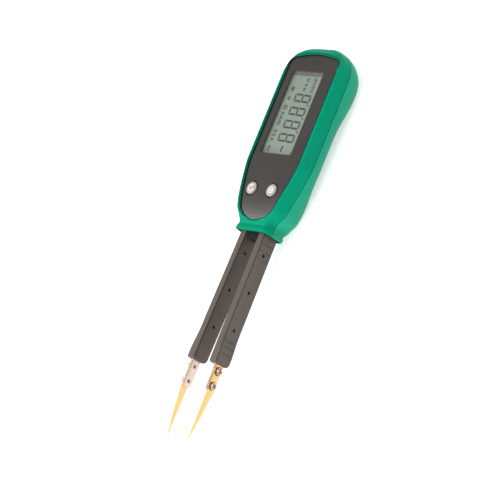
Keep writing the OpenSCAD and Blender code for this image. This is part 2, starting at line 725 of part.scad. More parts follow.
// Side view of an arm: its lower end has a large round at the back and a small one in front
module arm_side() {
    rear_r = 3;
    front_r = 1.4;
    top_z = arm_low_z + arm_h;
    translate([-5, 0, 0]) {
        block([0, -arm_reach + rear_r, arm_low_z], [12, arm_root, top_z]);
        block([0, -arm_reach, arm_low_z + rear_r], [12, -arm_reach + rear_r + 1, top_z - front_r]);
        block([0, -arm_reach + front_r, arm_z], [12, -arm_reach + rear_r + 1, top_z]);
        translate([0, -arm_reach + rear_r, arm_low_z + rear_r]) rotate([0, 90, 0])
            cylinder(r = rear_r, h = 12);
        translate([0, -arm_reach + front_r, top_z - front_r]) rotate([0, 90, 0])
            cylinder(r = front_r, h = 12);
    }
}
module pin_holes(s) {
    for (side = [-arm_t / 2 - 1, arm_t / 2 - 0.8])
        translate([side, -s, arm_z]) rotate([0, 90, 0]) cylinder(r = 0.55, h = 1.8 + grip_swell);
}
module groove(s, depth) {
    translate([outer_face(s) + 0.6 - depth, -s, arm_z - 3.2]) cylinder(r = 0.6, h = 6.4);
}
module left_arm_cover() { arm_cover(-1); }
module right_arm_cover() { arm_cover(1); }

module spring_strip(x) {
    color([0.78, 0.76, 0.72]) at_arm(x) difference() {
        block([-strip_t / 2, -arm_reach + 1, arm_z - strip_w / 2],
              [strip_t / 2, strip_in, arm_z + strip_w / 2]);
        translate([-1, rivet_in, arm_z]) rotate([0, 90, 0]) cylinder(r = rivet_r + gap, h = 2);
    }
}
module left_spring_strip() { spring_strip(-1); }
module right_spring_strip() { spring_strip(1); }

module contact_block(x) {
    color([0.86, 0.8, 0.76]) at_arm(x) difference() {
        union() {
            block([tang_x, -arm_reach - 0.01, arm_z - block_w / 2],
                  [block_x, -arm_reach + strip_lap, arm_z + block_w / 2]);
            block([block_x - block_t, -arm_reach - block_l, arm_z - block_w / 2],
                  [block_x, -arm_reach, arm_z + block_w / 2]);
        }
        for (s = screw_spots) translate([block_x - block_t - 1, s, arm_z]) rotate([0, 90, 0])
            cylinder(r = block_hole_r, h = block_t + 2);
    }
}
module left_contact_block() { contact_block(-1); }
module right_contact_block() { contact_block(1); }

// A blade: flat along the block, then a bend, and a long taper that leans in to its point
module blade(x) {
    bend = -arm_reach - block_l;
    tip = -arm_reach - blade_l;
    tip_w = 0.35;
    color([0.93, 0.72, 0.35]) at_arm(x) difference() {
        intersection() {
            translate([0, 0, arm_z - blade_w]) linear_extrude(2 * blade_w) polygon([
                [block_x, -arm_reach - 0.3], [block_x, bend],
                [block_x - blade_lean * 0.42, mix(bend, tip, 0.5)],
                [block_x - blade_lean, tip],
                [block_x - blade_lean + blade_t * 0.8, tip],
                [block_x - blade_lean * 0.42 + blade_t, mix(bend, tip, 0.5)],
                [block_x + blade_t, bend], [block_x + blade_t, -arm_reach - 0.3]]);
            translate([block_x - 5, 0, arm_z]) rotate([90, 0, 90]) linear_extrude(10) polygon([
                [-arm_reach, -blade_w / 2], [-arm_reach, blade_w / 2], [bend, blade_w / 2],
                [mix(bend, tip, 0.45), blade_w * 0.33], [tip, tip_w / 2], [tip, -tip_w / 2],
                [mix(bend, tip, 0.45), -blade_w * 0.33], [bend, -blade_w / 2]]);
        }
        for (s = screw_spots) translate([0, s, arm_z]) rotate([0, 90, 0])
            cylinder(r = block_hole_r, h = 5);
    }
}
module left_blade() { blade(-1); }
module right_blade() { blade(1); }

module blade_screws(x) {
    head_x = block_x + blade_t;
    color([0.85, 0.78, 0.68]) at_arm(x) for (s = screw_spots)
        translate([head_x, s, arm_z]) rotate([0, 90, 0]) difference() {
            union() {
                rotate_extrude() polygon(concat([[0, 0], [screw_head_d / 2, 0]],
                    [for (i = [0:5]) [screw_head_d / 2 - 0.45 * (1 - cos(18 * i)),
                        screw_head_t - 0.45 + 0.45 * sin(18 * i)]], [[0, screw_head_t]]));
                translate([0, 0, -block_t - blade_t + 0.1])
                    cylinder(r = screw_shank_r, h = block_t + blade_t);
            }
            for (a = [0, 90]) rotate(a + 20)
                translate([-0.3 * screw_head_d, -slot_w / 2, screw_head_t - slot_depth])
                    cube([0.6 * screw_head_d, slot_w, 1]);
        }
}
module left_blade_screws() { blade_screws(-1); }
module right_blade_screws() { blade_screws(1); }

front_shell();
rear_shell();
battery_cover();
battery_cover_screw();
housing_screws();
fascia();
display_lens();
lcd_panel();
display_holder();
contact_strips();
main_board();
board_chips();
button_switches();
coin_cell();
cell_holder();
cell_contact();
cell_clip();
arm_carrier();
strip_rivets();
signal_wires();
left_button();
right_button();
left_arm_cover();
right_arm_cover();
left_spring_strip();
right_spring_strip();
left_contact_block();
right_contact_block();
left_blade();
right_blade();
left_blade_screws();
right_blade_screws();
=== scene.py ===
"""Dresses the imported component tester: two green shells, a dark front plate with a display,
two buttons, and two sprung arms that end in contact blocks and gold blades.

Lengths in the classes are millimetres in the model's own frame: +Z out of the display, +Y to
the head, tips towards -Y. Meshes are written in metres.
"""

import logging
import math
from dataclasses import dataclass, field
from enum import Enum
from typing import Callable, Iterable, Optional, Sequence

import bmesh
import bpy
from mathutils import Matrix, Vector


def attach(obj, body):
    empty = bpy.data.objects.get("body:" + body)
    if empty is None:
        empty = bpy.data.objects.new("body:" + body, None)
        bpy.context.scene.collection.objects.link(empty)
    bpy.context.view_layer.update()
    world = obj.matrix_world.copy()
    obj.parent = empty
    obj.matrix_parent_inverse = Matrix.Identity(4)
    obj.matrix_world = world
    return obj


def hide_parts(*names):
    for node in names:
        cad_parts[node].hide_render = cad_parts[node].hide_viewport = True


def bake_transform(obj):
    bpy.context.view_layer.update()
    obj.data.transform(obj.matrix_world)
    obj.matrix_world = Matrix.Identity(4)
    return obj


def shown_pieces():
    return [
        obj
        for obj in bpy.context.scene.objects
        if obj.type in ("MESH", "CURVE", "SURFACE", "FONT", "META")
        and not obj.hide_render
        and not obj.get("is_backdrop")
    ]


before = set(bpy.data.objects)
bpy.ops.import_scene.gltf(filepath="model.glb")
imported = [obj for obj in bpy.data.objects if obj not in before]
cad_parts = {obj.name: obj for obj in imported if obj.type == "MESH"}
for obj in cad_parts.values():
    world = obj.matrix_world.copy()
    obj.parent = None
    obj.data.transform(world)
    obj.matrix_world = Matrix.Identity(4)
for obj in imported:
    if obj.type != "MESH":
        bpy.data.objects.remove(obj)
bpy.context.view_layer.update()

LOG = logging.getLogger("tester")
MM = 0.001
Point = tuple[float, float, float]
Spot = tuple[float, float]
Row = list[Point]

# places that several pieces share
LIP_Y = 2.7
WINDOW_X, WINDOW_Y = -1.9, LIP_Y + 55.0
BUTTON_X, BUTTON_Y = (-6.9, 5.3), LIP_Y + 18.3
COVER_Y, COVER_ROUND = LIP_Y + 63.75, 3.0
COVER_SCREW_Y = LIP_Y + 52.0
CASE_SCREWS = ((-11.6, LIP_Y + 30.1, 7.2), (11.6, LIP_Y + 30.1, 7.2), (0.0, LIP_Y + 8.5, 2.2))

LEAST = 0.02    # smallest half size of a section
MERGE = 1e-4    # points closer than this are one
LID = "lid"     # marks the faces that close a mesh for its cuts
SMOOTH = 38     # edges sharper than this many degrees stay sharp


class Side(Enum):
    """Which arm or button, by the sign of its x."""

    LEFT = -1
    RIGHT = 1

    @property
    def label(self) -> str:
        """The side's word in the names of pieces, bodies and nodes."""
        return self.name.lower()


# ---------------------------------------------------------------- small maths


def clamp(value: float, low: float = 0.0, high: float = 1.0) -> float:
    """Returns value held between low and high."""
    return min(max(value, low), high)


def mix(a: float, b: float, t: float) -> float:
    """Returns the number a share t of the way from a to b."""
    return a + (b - a) * t


def ease(t: float) -> float:
    """Returns a smooth step from 0 to 1 as t goes from 0 to 1."""
    return 0.5 - 0.5 * math.cos(math.pi * clamp(t))


def rise(at: float, start: float, end: float) -> float:
    """Returns a smooth step from 0 to 1 as at goes from start to end."""
    return ease((at - start) / (end - start))


def super_fall(t: float, power: float) -> float:
    """Returns a superellipse's fall from 1 to 0 as t goes from 0 to 1."""
    return max(1 - clamp(t) ** power, 0.0) ** (1 / power)


def round_fall(t: float) -> float:
    """Returns a quarter circle's sag, from 0 to 1, as t goes from 0 to 1."""
    return 1 - math.sqrt(1 - clamp(t) ** 2)


def spread(a: float, b: float, count: int) -> list[float]:
    """Returns count numbers from a to b, both ends included."""
    return [mix(a, b, i / (count - 1)) for i in range(count)]


def quarter(steps: int, first: int = 0) -> list[Spot]:
    """Returns (1 - cos, 1 - sin) over a quarter turn in equal steps, from step first."""
    turns = [math.pi / 2 * i / steps for i in range(first, steps + 1)]
    return [(1 - math.cos(t), 1 - math.sin(t)) for t in turns]


# ---------------------------------------------------------------- finishes


class Pattern(Enum):
    """How a finish's texture runs over its surface, as the texture's scale along X, Y and Z."""

    EVEN = (1, 1, 1)
    BRUSHED = (1, 0.06, 1)


@dataclass(frozen=True)
class Finish:
    """One material: its colours, gloss and surface detail.

    Attributes:
        name: material name.
        colour: linear base colour.
        shade: colour of the darker patches.
        roughness: mean roughness.
        pattern: how the texture runs.
        metallic: 1 for metals.
        grain: size of the fine texture in millimetres.
        bump: strength of the fine texture.
        blotch: size of the colour patches in millimetres.
        coat: clear coat weight.
        specular: specular level.
        alpha: opacity, below 1 for the clear window.
        coat_roughness: roughness of the clear coat.
        relief: depth of the fine texture in millimetres.
        patch_edges: noise levels where the patches start and end.
        both: least and greatest sum of the two textures that counts.
        uneven: share by which the roughness varies.
    """

    name: str
    colour: Point
    shade: Point
    roughness: float
    pattern: Pattern = Pattern.EVEN
    metallic: float = 0.0
    grain: float = 0.22
    bump: float = 0.08
    blotch: float = 9.0
    coat: float = 0.0
    specular: float = 0.5
    alpha: float = 1.0
    coat_roughness: float = 0.12
    relief: float = 0.05
    patch_edges: Spot = (0.3, 0.7)
    both: Spot = (0.6, 1.4)
    uneven: float = 0.15

    def build(self) -> bpy.types.Material:
        """Builds the node material once and returns it.

        Returns:
            The material with this finish's name.
        """
        found = bpy.data.materials.get(self.name)
        if found:
            return found
        material = bpy.data.materials.new(self.name)
        material.use_nodes = True
        tree = material.node_tree
        shader = tree.nodes["Principled BSDF"]
        shader.inputs["Metallic"].default_value = self.metallic
        shader.inputs["Coat Weight"].default_value = self.coat
        shader.inputs["Coat Roughness"].default_value = self.coat_roughness
        shader.inputs["Specular IOR Level"].default_value = self.specular
        shader.inputs["Alpha"].default_value = self.alpha
        place = tree.nodes.new("ShaderNodeTexCoord")
        stretch = tree.nodes.new("ShaderNodeMapping")
        stretch.inputs["Scale"].default_value = self.pattern.value
        tree.links.new(place.outputs["Object"], stretch.inputs["Vector"])
        fine = self.noise(tree, stretch, self.grain, 3)
        broad = self.noise(tree, stretch, self.blotch, 2)
        self.tint(tree, shader, broad)
        self.gloss(tree, shader, fine, broad)
        relief = tree.nodes.new("ShaderNodeBump")
        relief.inputs["Strength"].default_value = self.bump
        relief.inputs["Distance"].default_value = self.relief * MM
        tree.links.new(fine.outputs["Fac"], relief.inputs["Height"])
        tree.links.new(relief.outputs["Normal"], shader.inputs["Normal"])
        return material

    def noise(self, tree: bpy.types.NodeTree, source: bpy.types.Node, size: float,
              detail: float) -> bpy.types.Node:
        """Adds a noise texture.

        Args:
            tree: the material's nodes.
            source: node that gives the coordinates.
            size: rough size of the texture's features in millimetres.
            detail: octaves of finer noise.

        Returns:
            The noise node.
        """
        noise = tree.nodes.new("ShaderNodeTexNoise")
        noise.inputs["Scale"].default_value = 1 / (size * MM)
        noise.inputs["Detail"].default_value = detail
        tree.links.new(source.outputs["Vector"], noise.inputs["Vector"])
        return noise

    def tint(self, tree: bpy.types.NodeTree, shader: bpy.types.Node,
             broad: bpy.types.Node) -> None:
        """Varies the base colour between colour and shade.

        Args:
            tree: the material's nodes.
            shader: the surface shader.
            broad: the noise of the patches.
        """
        ramp = tree.nodes.new("ShaderNodeValToRGB")
        ends = zip(ramp.color_ramp.elements, self.patch_edges, (self.shade, self.colour))
        for stop, position, colour in ends:
            stop.position = position
            stop.color = (*colour, 1)
        tree.links.new(broad.outputs["Fac"], ramp.inputs["Fac"])
        tree.links.new(ramp.outputs["Color"], shader.inputs["Base Color"])

    def gloss(self, tree: bpy.types.NodeTree, shader: bpy.types.Node, fine: bpy.types.Node,
              broad: bpy.types.Node) -> None:
        """Varies the roughness a little with both textures.

        Args:
            tree: the material's nodes.
            shader: the surface shader.
            fine: the noise of the grain.
            broad: the noise of the patches.
        """
        total = tree.nodes.new("ShaderNodeMath")
        total.operation = "ADD"
        tree.links.new(fine.outputs["Fac"], total.inputs[0])
        tree.links.new(broad.outputs["Fac"], total.inputs[1])
        reach = tree.nodes.new("ShaderNodeMapRange")
        reach.inputs["From Min"].default_value = self.both[0]
        reach.inputs["From Max"].default_value = self.both[1]
        reach.inputs["To Min"].default_value = self.roughness * (1 - self.uneven)
        reach.inputs["To Max"].default_value = min(self.roughness * (1 + self.uneven), 1)
        tree.links.new(total.outputs["Value"], reach.inputs["Value"])
        tree.links.new(reach.outputs["Result"], shader.inputs["Roughness"])


GREEN = Finish("green_front_plastic", (0.0, 0.295, 0.166), (0.0, 0.275, 0.155), 0.42,
               specular=0.04)
REAR_GREEN = Finish("green_rear_plastic", (0.004, 0.36, 0.21), (0.002, 0.33, 0.19), 0.5,
                    grain=0.3, bump=0.2, specular=0.22)
# painted shadow: a dark shaded green for the band that stands in for the shadow in the gap round
# the plate
GAP_SHADOW = Finish("painted_gap_shadow", (0.0, 0.02, 0.015), (0.0, 0.015, 0.011), 0.6,
                specular=0.1)
PLATE = Finish("dark_plate_plastic", (0.043, 0.038, 0.034), (0.037, 0.033, 0.029), 0.31,
               grain=0.12, bump=0.12, blotch=14, specular=0.5)
ARM = Finish("arm_plastic", (0.11, 0.09, 0.075), (0.095, 0.077, 0.066), 0.5, grain=0.16,
             bump=0.16, blotch=7, specular=0.35)
# partly painted shade: the parting line is a real groove, and this darker colour in it stands in
# for its shade
ARM_LINE_SHADE = Finish("arm_parting_line_painted_shade", (0.025, 0.022, 0.019), (0.018, 0.016, 0.014), 0.7,
                  specular=0.2)
BUTTON = Finish("button_rubber", (0.47, 0.41, 0.395), (0.42, 0.365, 0.355), 0.45, grain=0.18,
                bump=0.12, blotch=3)
# painted shade: a darker rubber for the buttons' side walls, standing in for the shade on them
BUTTON_SIDE_SHADE = Finish("button_side_painted_shade", (0.16, 0.115, 0.105), (0.13, 0.09, 0.085), 0.55)
WHITE_INK = Finish("white_ink", (0.9, 0.88, 0.86), (0.82, 0.8, 0.78), 0.5, grain=0.1, blotch=2)
MASK = Finish("display_border", (0.105, 0.092, 0.09), (0.09, 0.08, 0.078), 0.4, grain=0.1)
STRIP = Finish("display_light_guide", (0.2, 0.175, 0.17), (0.13, 0.112, 0.108), 0.5, grain=0.1,
               blotch=3)
CRYSTAL = Finish("display_crystal", (0.27, 0.33, 0.275), (0.24, 0.295, 0.25), 0.35, grain=0.08,
                 bump=0.03, blotch=12)
SEGMENT = Finish("display_segments", (0.04, 0.052, 0.04), (0.032, 0.042, 0.032), 0.4,
                 grain=0.08, bump=0.02)
FAINT = Finish("display_faint_segments", (0.065, 0.08, 0.065), (0.055, 0.07, 0.055), 0.4,
               grain=0.08, bump=0.02)
WINDOW = Finish("acrylic_window", (0.3, 0.32, 0.3), (0.28, 0.3, 0.28), 0.06, bump=0.0,
                alpha=0.05)
GOLD = Finish("gold_plating", (0.79, 0.51, 0.25), (0.72, 0.41, 0.15), 0.34, Pattern.BRUSHED,
              1.0, grain=0.12, bump=0.1, blotch=5)
ALLOY = Finish("block_alloy", (0.84, 0.7, 0.62), (0.7, 0.57, 0.5), 0.36, Pattern.BRUSHED, 0.35,
               grain=0.1, bump=0.14, blotch=3)
SPRING = Finish("strip_steel", (0.62, 0.6, 0.57), (0.52, 0.5, 0.48), 0.3, Pattern.BRUSHED, 1.0,
                grain=0.1, bump=0.1, blotch=4)
# painted shade: dark brown for the sides of the screw heads, standing in for the shade on them
SCREW_SIDE_SHADE = Finish("screw_sides_painted_shade", (0.14, 0.085, 0.05), (0.07, 0.045, 0.03), 0.3, metallic=0.6,
                blotch=0.9)
NOTCH = Finish("block_notches", (0.36, 0.3, 0.2), (0.26, 0.22, 0.14), 0.6, blotch=2)
NICKEL = Finish("plated_screw_heads", (0.72, 0.58, 0.46), (0.12, 0.07, 0.045), 0.16,
                metallic=1.0, grain=0.3, bump=0.1, blotch=0.9)
STEEL = Finish("case_screw_steel", (0.5, 0.5, 0.5), (0.4, 0.4, 0.41), 0.3, metallic=1.0,
               grain=0.2, bump=0.1, blotch=1.5)
BOARD = Finish("board_green", (0.02, 0.16, 0.06), (0.015, 0.12, 0.045), 0.35, grain=0.3,
               coat=0.3)
CHIP = Finish("chip_epoxy", (0.02, 0.02, 0.022), (0.015, 0.015, 0.016), 0.6, grain=0.1,
              bump=0.2)
CARRIER = Finish("carrier_plastic", (0.014, 0.011, 0.01), (0.01, 0.008, 0.007), 0.6,
                 specular=0.2)
HOLDER = Finish("holder_plastic", (0.72, 0.72, 0.68), (0.66, 0.66, 0.62), 0.5)
RUBBER = Finish("contact_rubber", (0.7, 0.38, 0.4), (0.6, 0.3, 0.32), 0.6)
CELL = Finish("cell_steel", (0.66, 0.66, 0.66), (0.58, 0.58, 0.58), 0.25, Pattern.BRUSHED, 1.0,
              bump=0.06)
BLACK = Finish("black_moulding", (0.018, 0.018, 0.018), (0.014, 0.014, 0.014), 0.5)
WIRE = Finish("wire_sleeve", (0.45, 0.02, 0.015), (0.38, 0.015, 0.012), 0.45)


# ---------------------------------------------------------------- mesh making


def round_edges(bm: bmesh.types.BMesh, width: float, sharp: float) -> None:
    """Rounds every edge that is sharper than an angle.

    Args:
        bm: mesh that changes.
        width: radius of the round, in the mesh's own unit.
        sharp: least angle between faces, in degrees.
    """
    edges = [e for e in bm.edges if e.is_manifold and e.calc_face_angle(0) > math.radians(sharp)]
    bmesh.ops.bevel(bm, geom=edges, offset=width, offset_type="OFFSET", affect="EDGES",
                    segments=3, profile=0.5, clamp_overlap=True, material=-1)


@dataclass
class Solid:
    """A closed mesh under construction, in millimetres."""

    bm: bmesh.types.BMesh = field(default_factory=bmesh.new)

    def loft(self, rows: Sequence[Row], caps: bool = True) -> "Solid":
        """Skins closed rows of points of equal length.

        Args:
            rows: one loop of points for each station.
            caps: fills the two end loops.

        Returns:
            This solid.
        """
        loops = [[*row, row[0]] for row in rows]
        made = bmesh.ops.create_grid(
            self.bm, x_segments=len(loops[0]) - 1, y_segments=len(loops) - 1, size=1)["verts"]
        for vert, place in zip(made, (p for loop in loops for p in loop), strict=True):
            vert.co = place
        bmesh.ops.remove_doubles(self.bm, verts=made, dist=MERGE)
        if caps:
            edges = [e for e in self.bm.edges if e.is_boundary]
            bmesh.ops.holes_fill(self.bm, edges=edges)
        return self

    def revolve(self, profile: Sequence[Spot], place: Matrix, steps: int = 48) -> "Solid":
        """Spins a profile of (radius, height) points round the local Z axis.

        Args:
            profile: points from the axis out and back to the axis.
            place: where the axis stands.
            steps: segments round the axis.

        Returns:
            This solid.
        """
        verts = [self.bm.verts.new((r, 0, z)) for r, z in profile]
        edges = [self.bm.edges.new(pair) for pair in zip(verts, verts[1:])]
        before = set(self.bm.verts) - set(verts)
        bmesh.ops.spin(self.bm, geom=verts + edges, cent=(0, 0, 0), axis=(0, 0, 1),
                       angle=math.tau, steps=steps, use_merge=True)
        made = [v for v in self.bm.verts if v not in before]
        bmesh.ops.remove_doubles(self.bm, verts=made, dist=MERGE)
        made = [v for v in self.bm.verts if v not in before]
        bmesh.ops.transform(self.bm, matrix=place, verts=made)
        return self

    def prism(self, outline: Sequence[Spot], low: float, high: float,
              place: Optional[Matrix] = None) -> "Solid":
        """Extrudes an outline of (x, y) points from low to high along local Z.

        Args:
            outline: points in order round the outline.
            low: start height.
            high: end height.
            place: where the prism stands, or None for the model's own frame.

        Returns:
            This solid.
        """
        verts = [self.bm.verts.new((x, y, low)) for x, y in outline]
        face = self.bm.faces.new(verts)
        grown = bmesh.ops.extrude_face_region(self.bm, geom=[face])["geom"]
        top = [v for v in grown if isinstance(v, bmesh.types.BMVert)]
        bmesh.ops.translate(self.bm, verts=top, vec=(0, 0, high - low))
        if place is not None:
            bmesh.ops.transform(self.bm, matrix=place, verts=verts + top)
        return self

    def bevel(self, width: float) -> "Solid":
        """Rounds the solid's sharp edges.

        Args:
            width: radius of the round.

        Returns:
            This solid.
        """
        self.bm.normal_update()
        round_edges(self.bm, width, 35)
        return self

    def move(self, matrix: Matrix) -> "Solid":
        """Transforms the whole solid."""
        bmesh.ops.transform(self.bm, matrix=matrix, verts=self.bm.verts)
        return self

    def object(self, name: str) -> bpy.types.Object:
        """Writes the mesh in metres and links its object.

        Args:
            name: name for the object and its mesh.

        Returns:
            The new object.
        """
        bmesh.ops.remove_doubles(self.bm, verts=self.bm.verts, dist=MERGE)
        bmesh.ops.dissolve_degenerate(self.bm, edges=self.bm.edges, dist=MERGE / 10)
        bmesh.ops.recalc_face_normals(self.bm, faces=self.bm.faces)
        bmesh.ops.scale(self.bm, vec=(MM, MM, MM), verts=self.bm.verts)
        mesh = bpy.data.meshes.new(name)
        self.bm.to_mesh(mesh)
        self.bm.free()
        made = bpy.data.objects.new(name, mesh)
        bpy.context.scene.collection.objects.link(made)
        return made


class Join(Enum):
    """What a tool does to the object that it meets."""

    CUT = "DIFFERENCE"
    ADD = "UNION"


def carve(target: bpy.types.Object, tool: Solid, join: Join = Join.CUT,
          crossing: bool = False) -> None:
    """Applies one exact Boolean of a tool solid to an object.

    Args:
        target: object that changes.
        tool: solid that is cut away or added.
        join: which of the two.
        crossing: True for a tool whose own parts cross.
    """
    cutter = tool.object("cutter")
    modifier = target.modifiers.new("carve", "BOOLEAN")
    modifier.operation = join.value
    modifier.solver = "EXACT"
    modifier.use_self = crossing
    modifier.object = cutter
    graph = bpy.context.evaluated_depsgraph_get()
    carved = bpy.data.meshes.new_from_object(target.evaluated_get(graph))
    target.modifiers.clear()
    old = target.data
    target.data = carved
    bpy.data.meshes.remove(old)
    bpy.data.meshes.remove(cutter.data)
    carved.name = target.name


def put_lids(target: bpy.types.Object) -> None:
    """Closes the open ends of a mesh for its cuts, with faces that take_lids finds again.

    The exact solver has to guess at the inside of an open mesh, and its guess can change
    from one run to the next.

    Args:
        target: object whose mesh is open.
    """
    bm = bmesh.new()
    bm.from_mesh(target.data)
    mark = bm.faces.layers.int.new(LID)
    ends = [edge for edge in bm.edges if edge.is_boundary]
    for face in bmesh.ops.holes_fill(bm, edges=ends)["faces"]:
        face[mark] = 1
    bm.to_mesh(target.data)
    bm.free()


def take_lids(target: bpy.types.Object) -> None:
    """Opens the ends again that put_lids closed.

    Args:
        target: object whose cuts are done.
    """
    bm = bmesh.new()
    bm.from_mesh(target.data)
    mark = bm.faces.layers.int[LID]
    lids = [face for face in bm.faces if face[mark]]
    bmesh.ops.delete(bm, geom=lids, context="FACES_ONLY")
    bm.faces.layers.int.remove(mark)
    bm.to_mesh(target.data)
    bm.free()


def soften(target: bpy.types.Object, width: float, sharp: float) -> None:
    """Rounds an object's sharp edges in its mesh.

    Args:
        target: object that changes.
        width: radius in millimetres.
        sharp: least angle between faces, in degrees.
    """
    bm = bmesh.new()
    bm.from_mesh(target.data)
    round_edges(bm, width * MM, sharp)
    bmesh.ops.remove_doubles(bm, verts=bm.verts, dist=MERGE * MM)
    bm.to_mesh(target.data)
    bm.free()


def paint(target: bpy.types.Object, finish: Finish) -> None:
    """Gives a piece its material and smooth shading between its sharp edges.

    Args:
        target: the piece.
        finish: its material.
    """
    target.data.materials.clear()
    target.data.materials.append(finish.build())
    target.data.polygons.foreach_set("use_smooth", [True] * len(target.data.polygons))
    target.data.set_sharp_from_angle(angle=math.radians(SMOOTH))


def dress(target: bpy.types.Object, body: str, finish: Finish,
          replaces: Sequence[str] = ()) -> bpy.types.Object:
    """Finishes a piece: material, shading, body and the CAD nodes it stands for.

    Args:
        target: the piece.
        body: CAD body it moves with.
        finish: its material.
        replaces: CAD nodes that it replaces.

    Returns:
        The piece.
    """
    paint(target, finish)
    even = target.modifiers.new("even_shading", "WEIGHTED_NORMAL")
    even.keep_sharp = True
    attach(target, body)
    if replaces:
        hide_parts(*replaces)
    return target


def two_tone(target: bpy.types.Object, finish: Finish,
             chosen: Callable[[bpy.types.MeshPolygon], bool]) -> None:
    """Gives the chosen faces of a piece a second finish.

    Args:
        target: the piece, already dressed.
        finish: the second finish.
        chosen: tells which faces get it.
    """
    target.data.materials.append(finish.build())
    for face in target.data.polygons:
        face.material_index = int(chosen(face))


def round_rectangle(width: float, length: float, radius: float, at: Spot = (0, 0),
                    steps: int = 6) -> list[Spot]:
    """Makes the outline of a rectangle with round corners.

    Args:
        width: size along x.
        length: size along y.
        radius: radius of the corners.
        at: its middle.
        steps: segments in each corner.

    Returns:
        The points, counter-clockwise from the right side's upper corner.
    """
    spots = []
    for turn, (sx, sy) in enumerate(((1, 1), (-1, 1), (-1, -1), (1, -1))):
        for i in range(steps + 1):
            angle = math.pi / 2 * (turn + i / steps)
            spots.append((at[0] + sx * (width / 2 - radius) + radius * math.cos(angle),
                          at[1] + sy * (length / 2 - radius) + radius * math.sin(angle)))
    return spots


def circle(radius: float, at: Spot = (0, 0), steps: int = 32) -> list[Spot]:
    """Returns the outline of a circle, counter-clockwise."""
    return [(at[0] + radius * math.cos(math.tau * i / steps),
             at[1] + radius * math.sin(math.tau * i / steps)) for i in range(steps)]


def cross(place: Matrix, turn: float, size: Spot, corner: float, low: float, high: float,
          tool: Solid) -> None:
    """Adds a screw's two crossing slots to a tool.

    Args:
        place: where the screw's axis stands.
        turn: the cross's turn in degrees.
        size: length and width of a slot.
        corner: radius of a slot's corners.
        low: the slots' ground along the axis.
        high: where the slots end outside the head.
        tool: solid that gets the slots.
    """
    for quarter_turn in (0, 90):
        spin = place @ Matrix.Rotation(math.radians(turn + quarter_turn), 4, "Z")
        tool.prism(round_rectangle(*size, corner, steps=2), low, high, spin)


# ---------------------------------------------------------------- housing


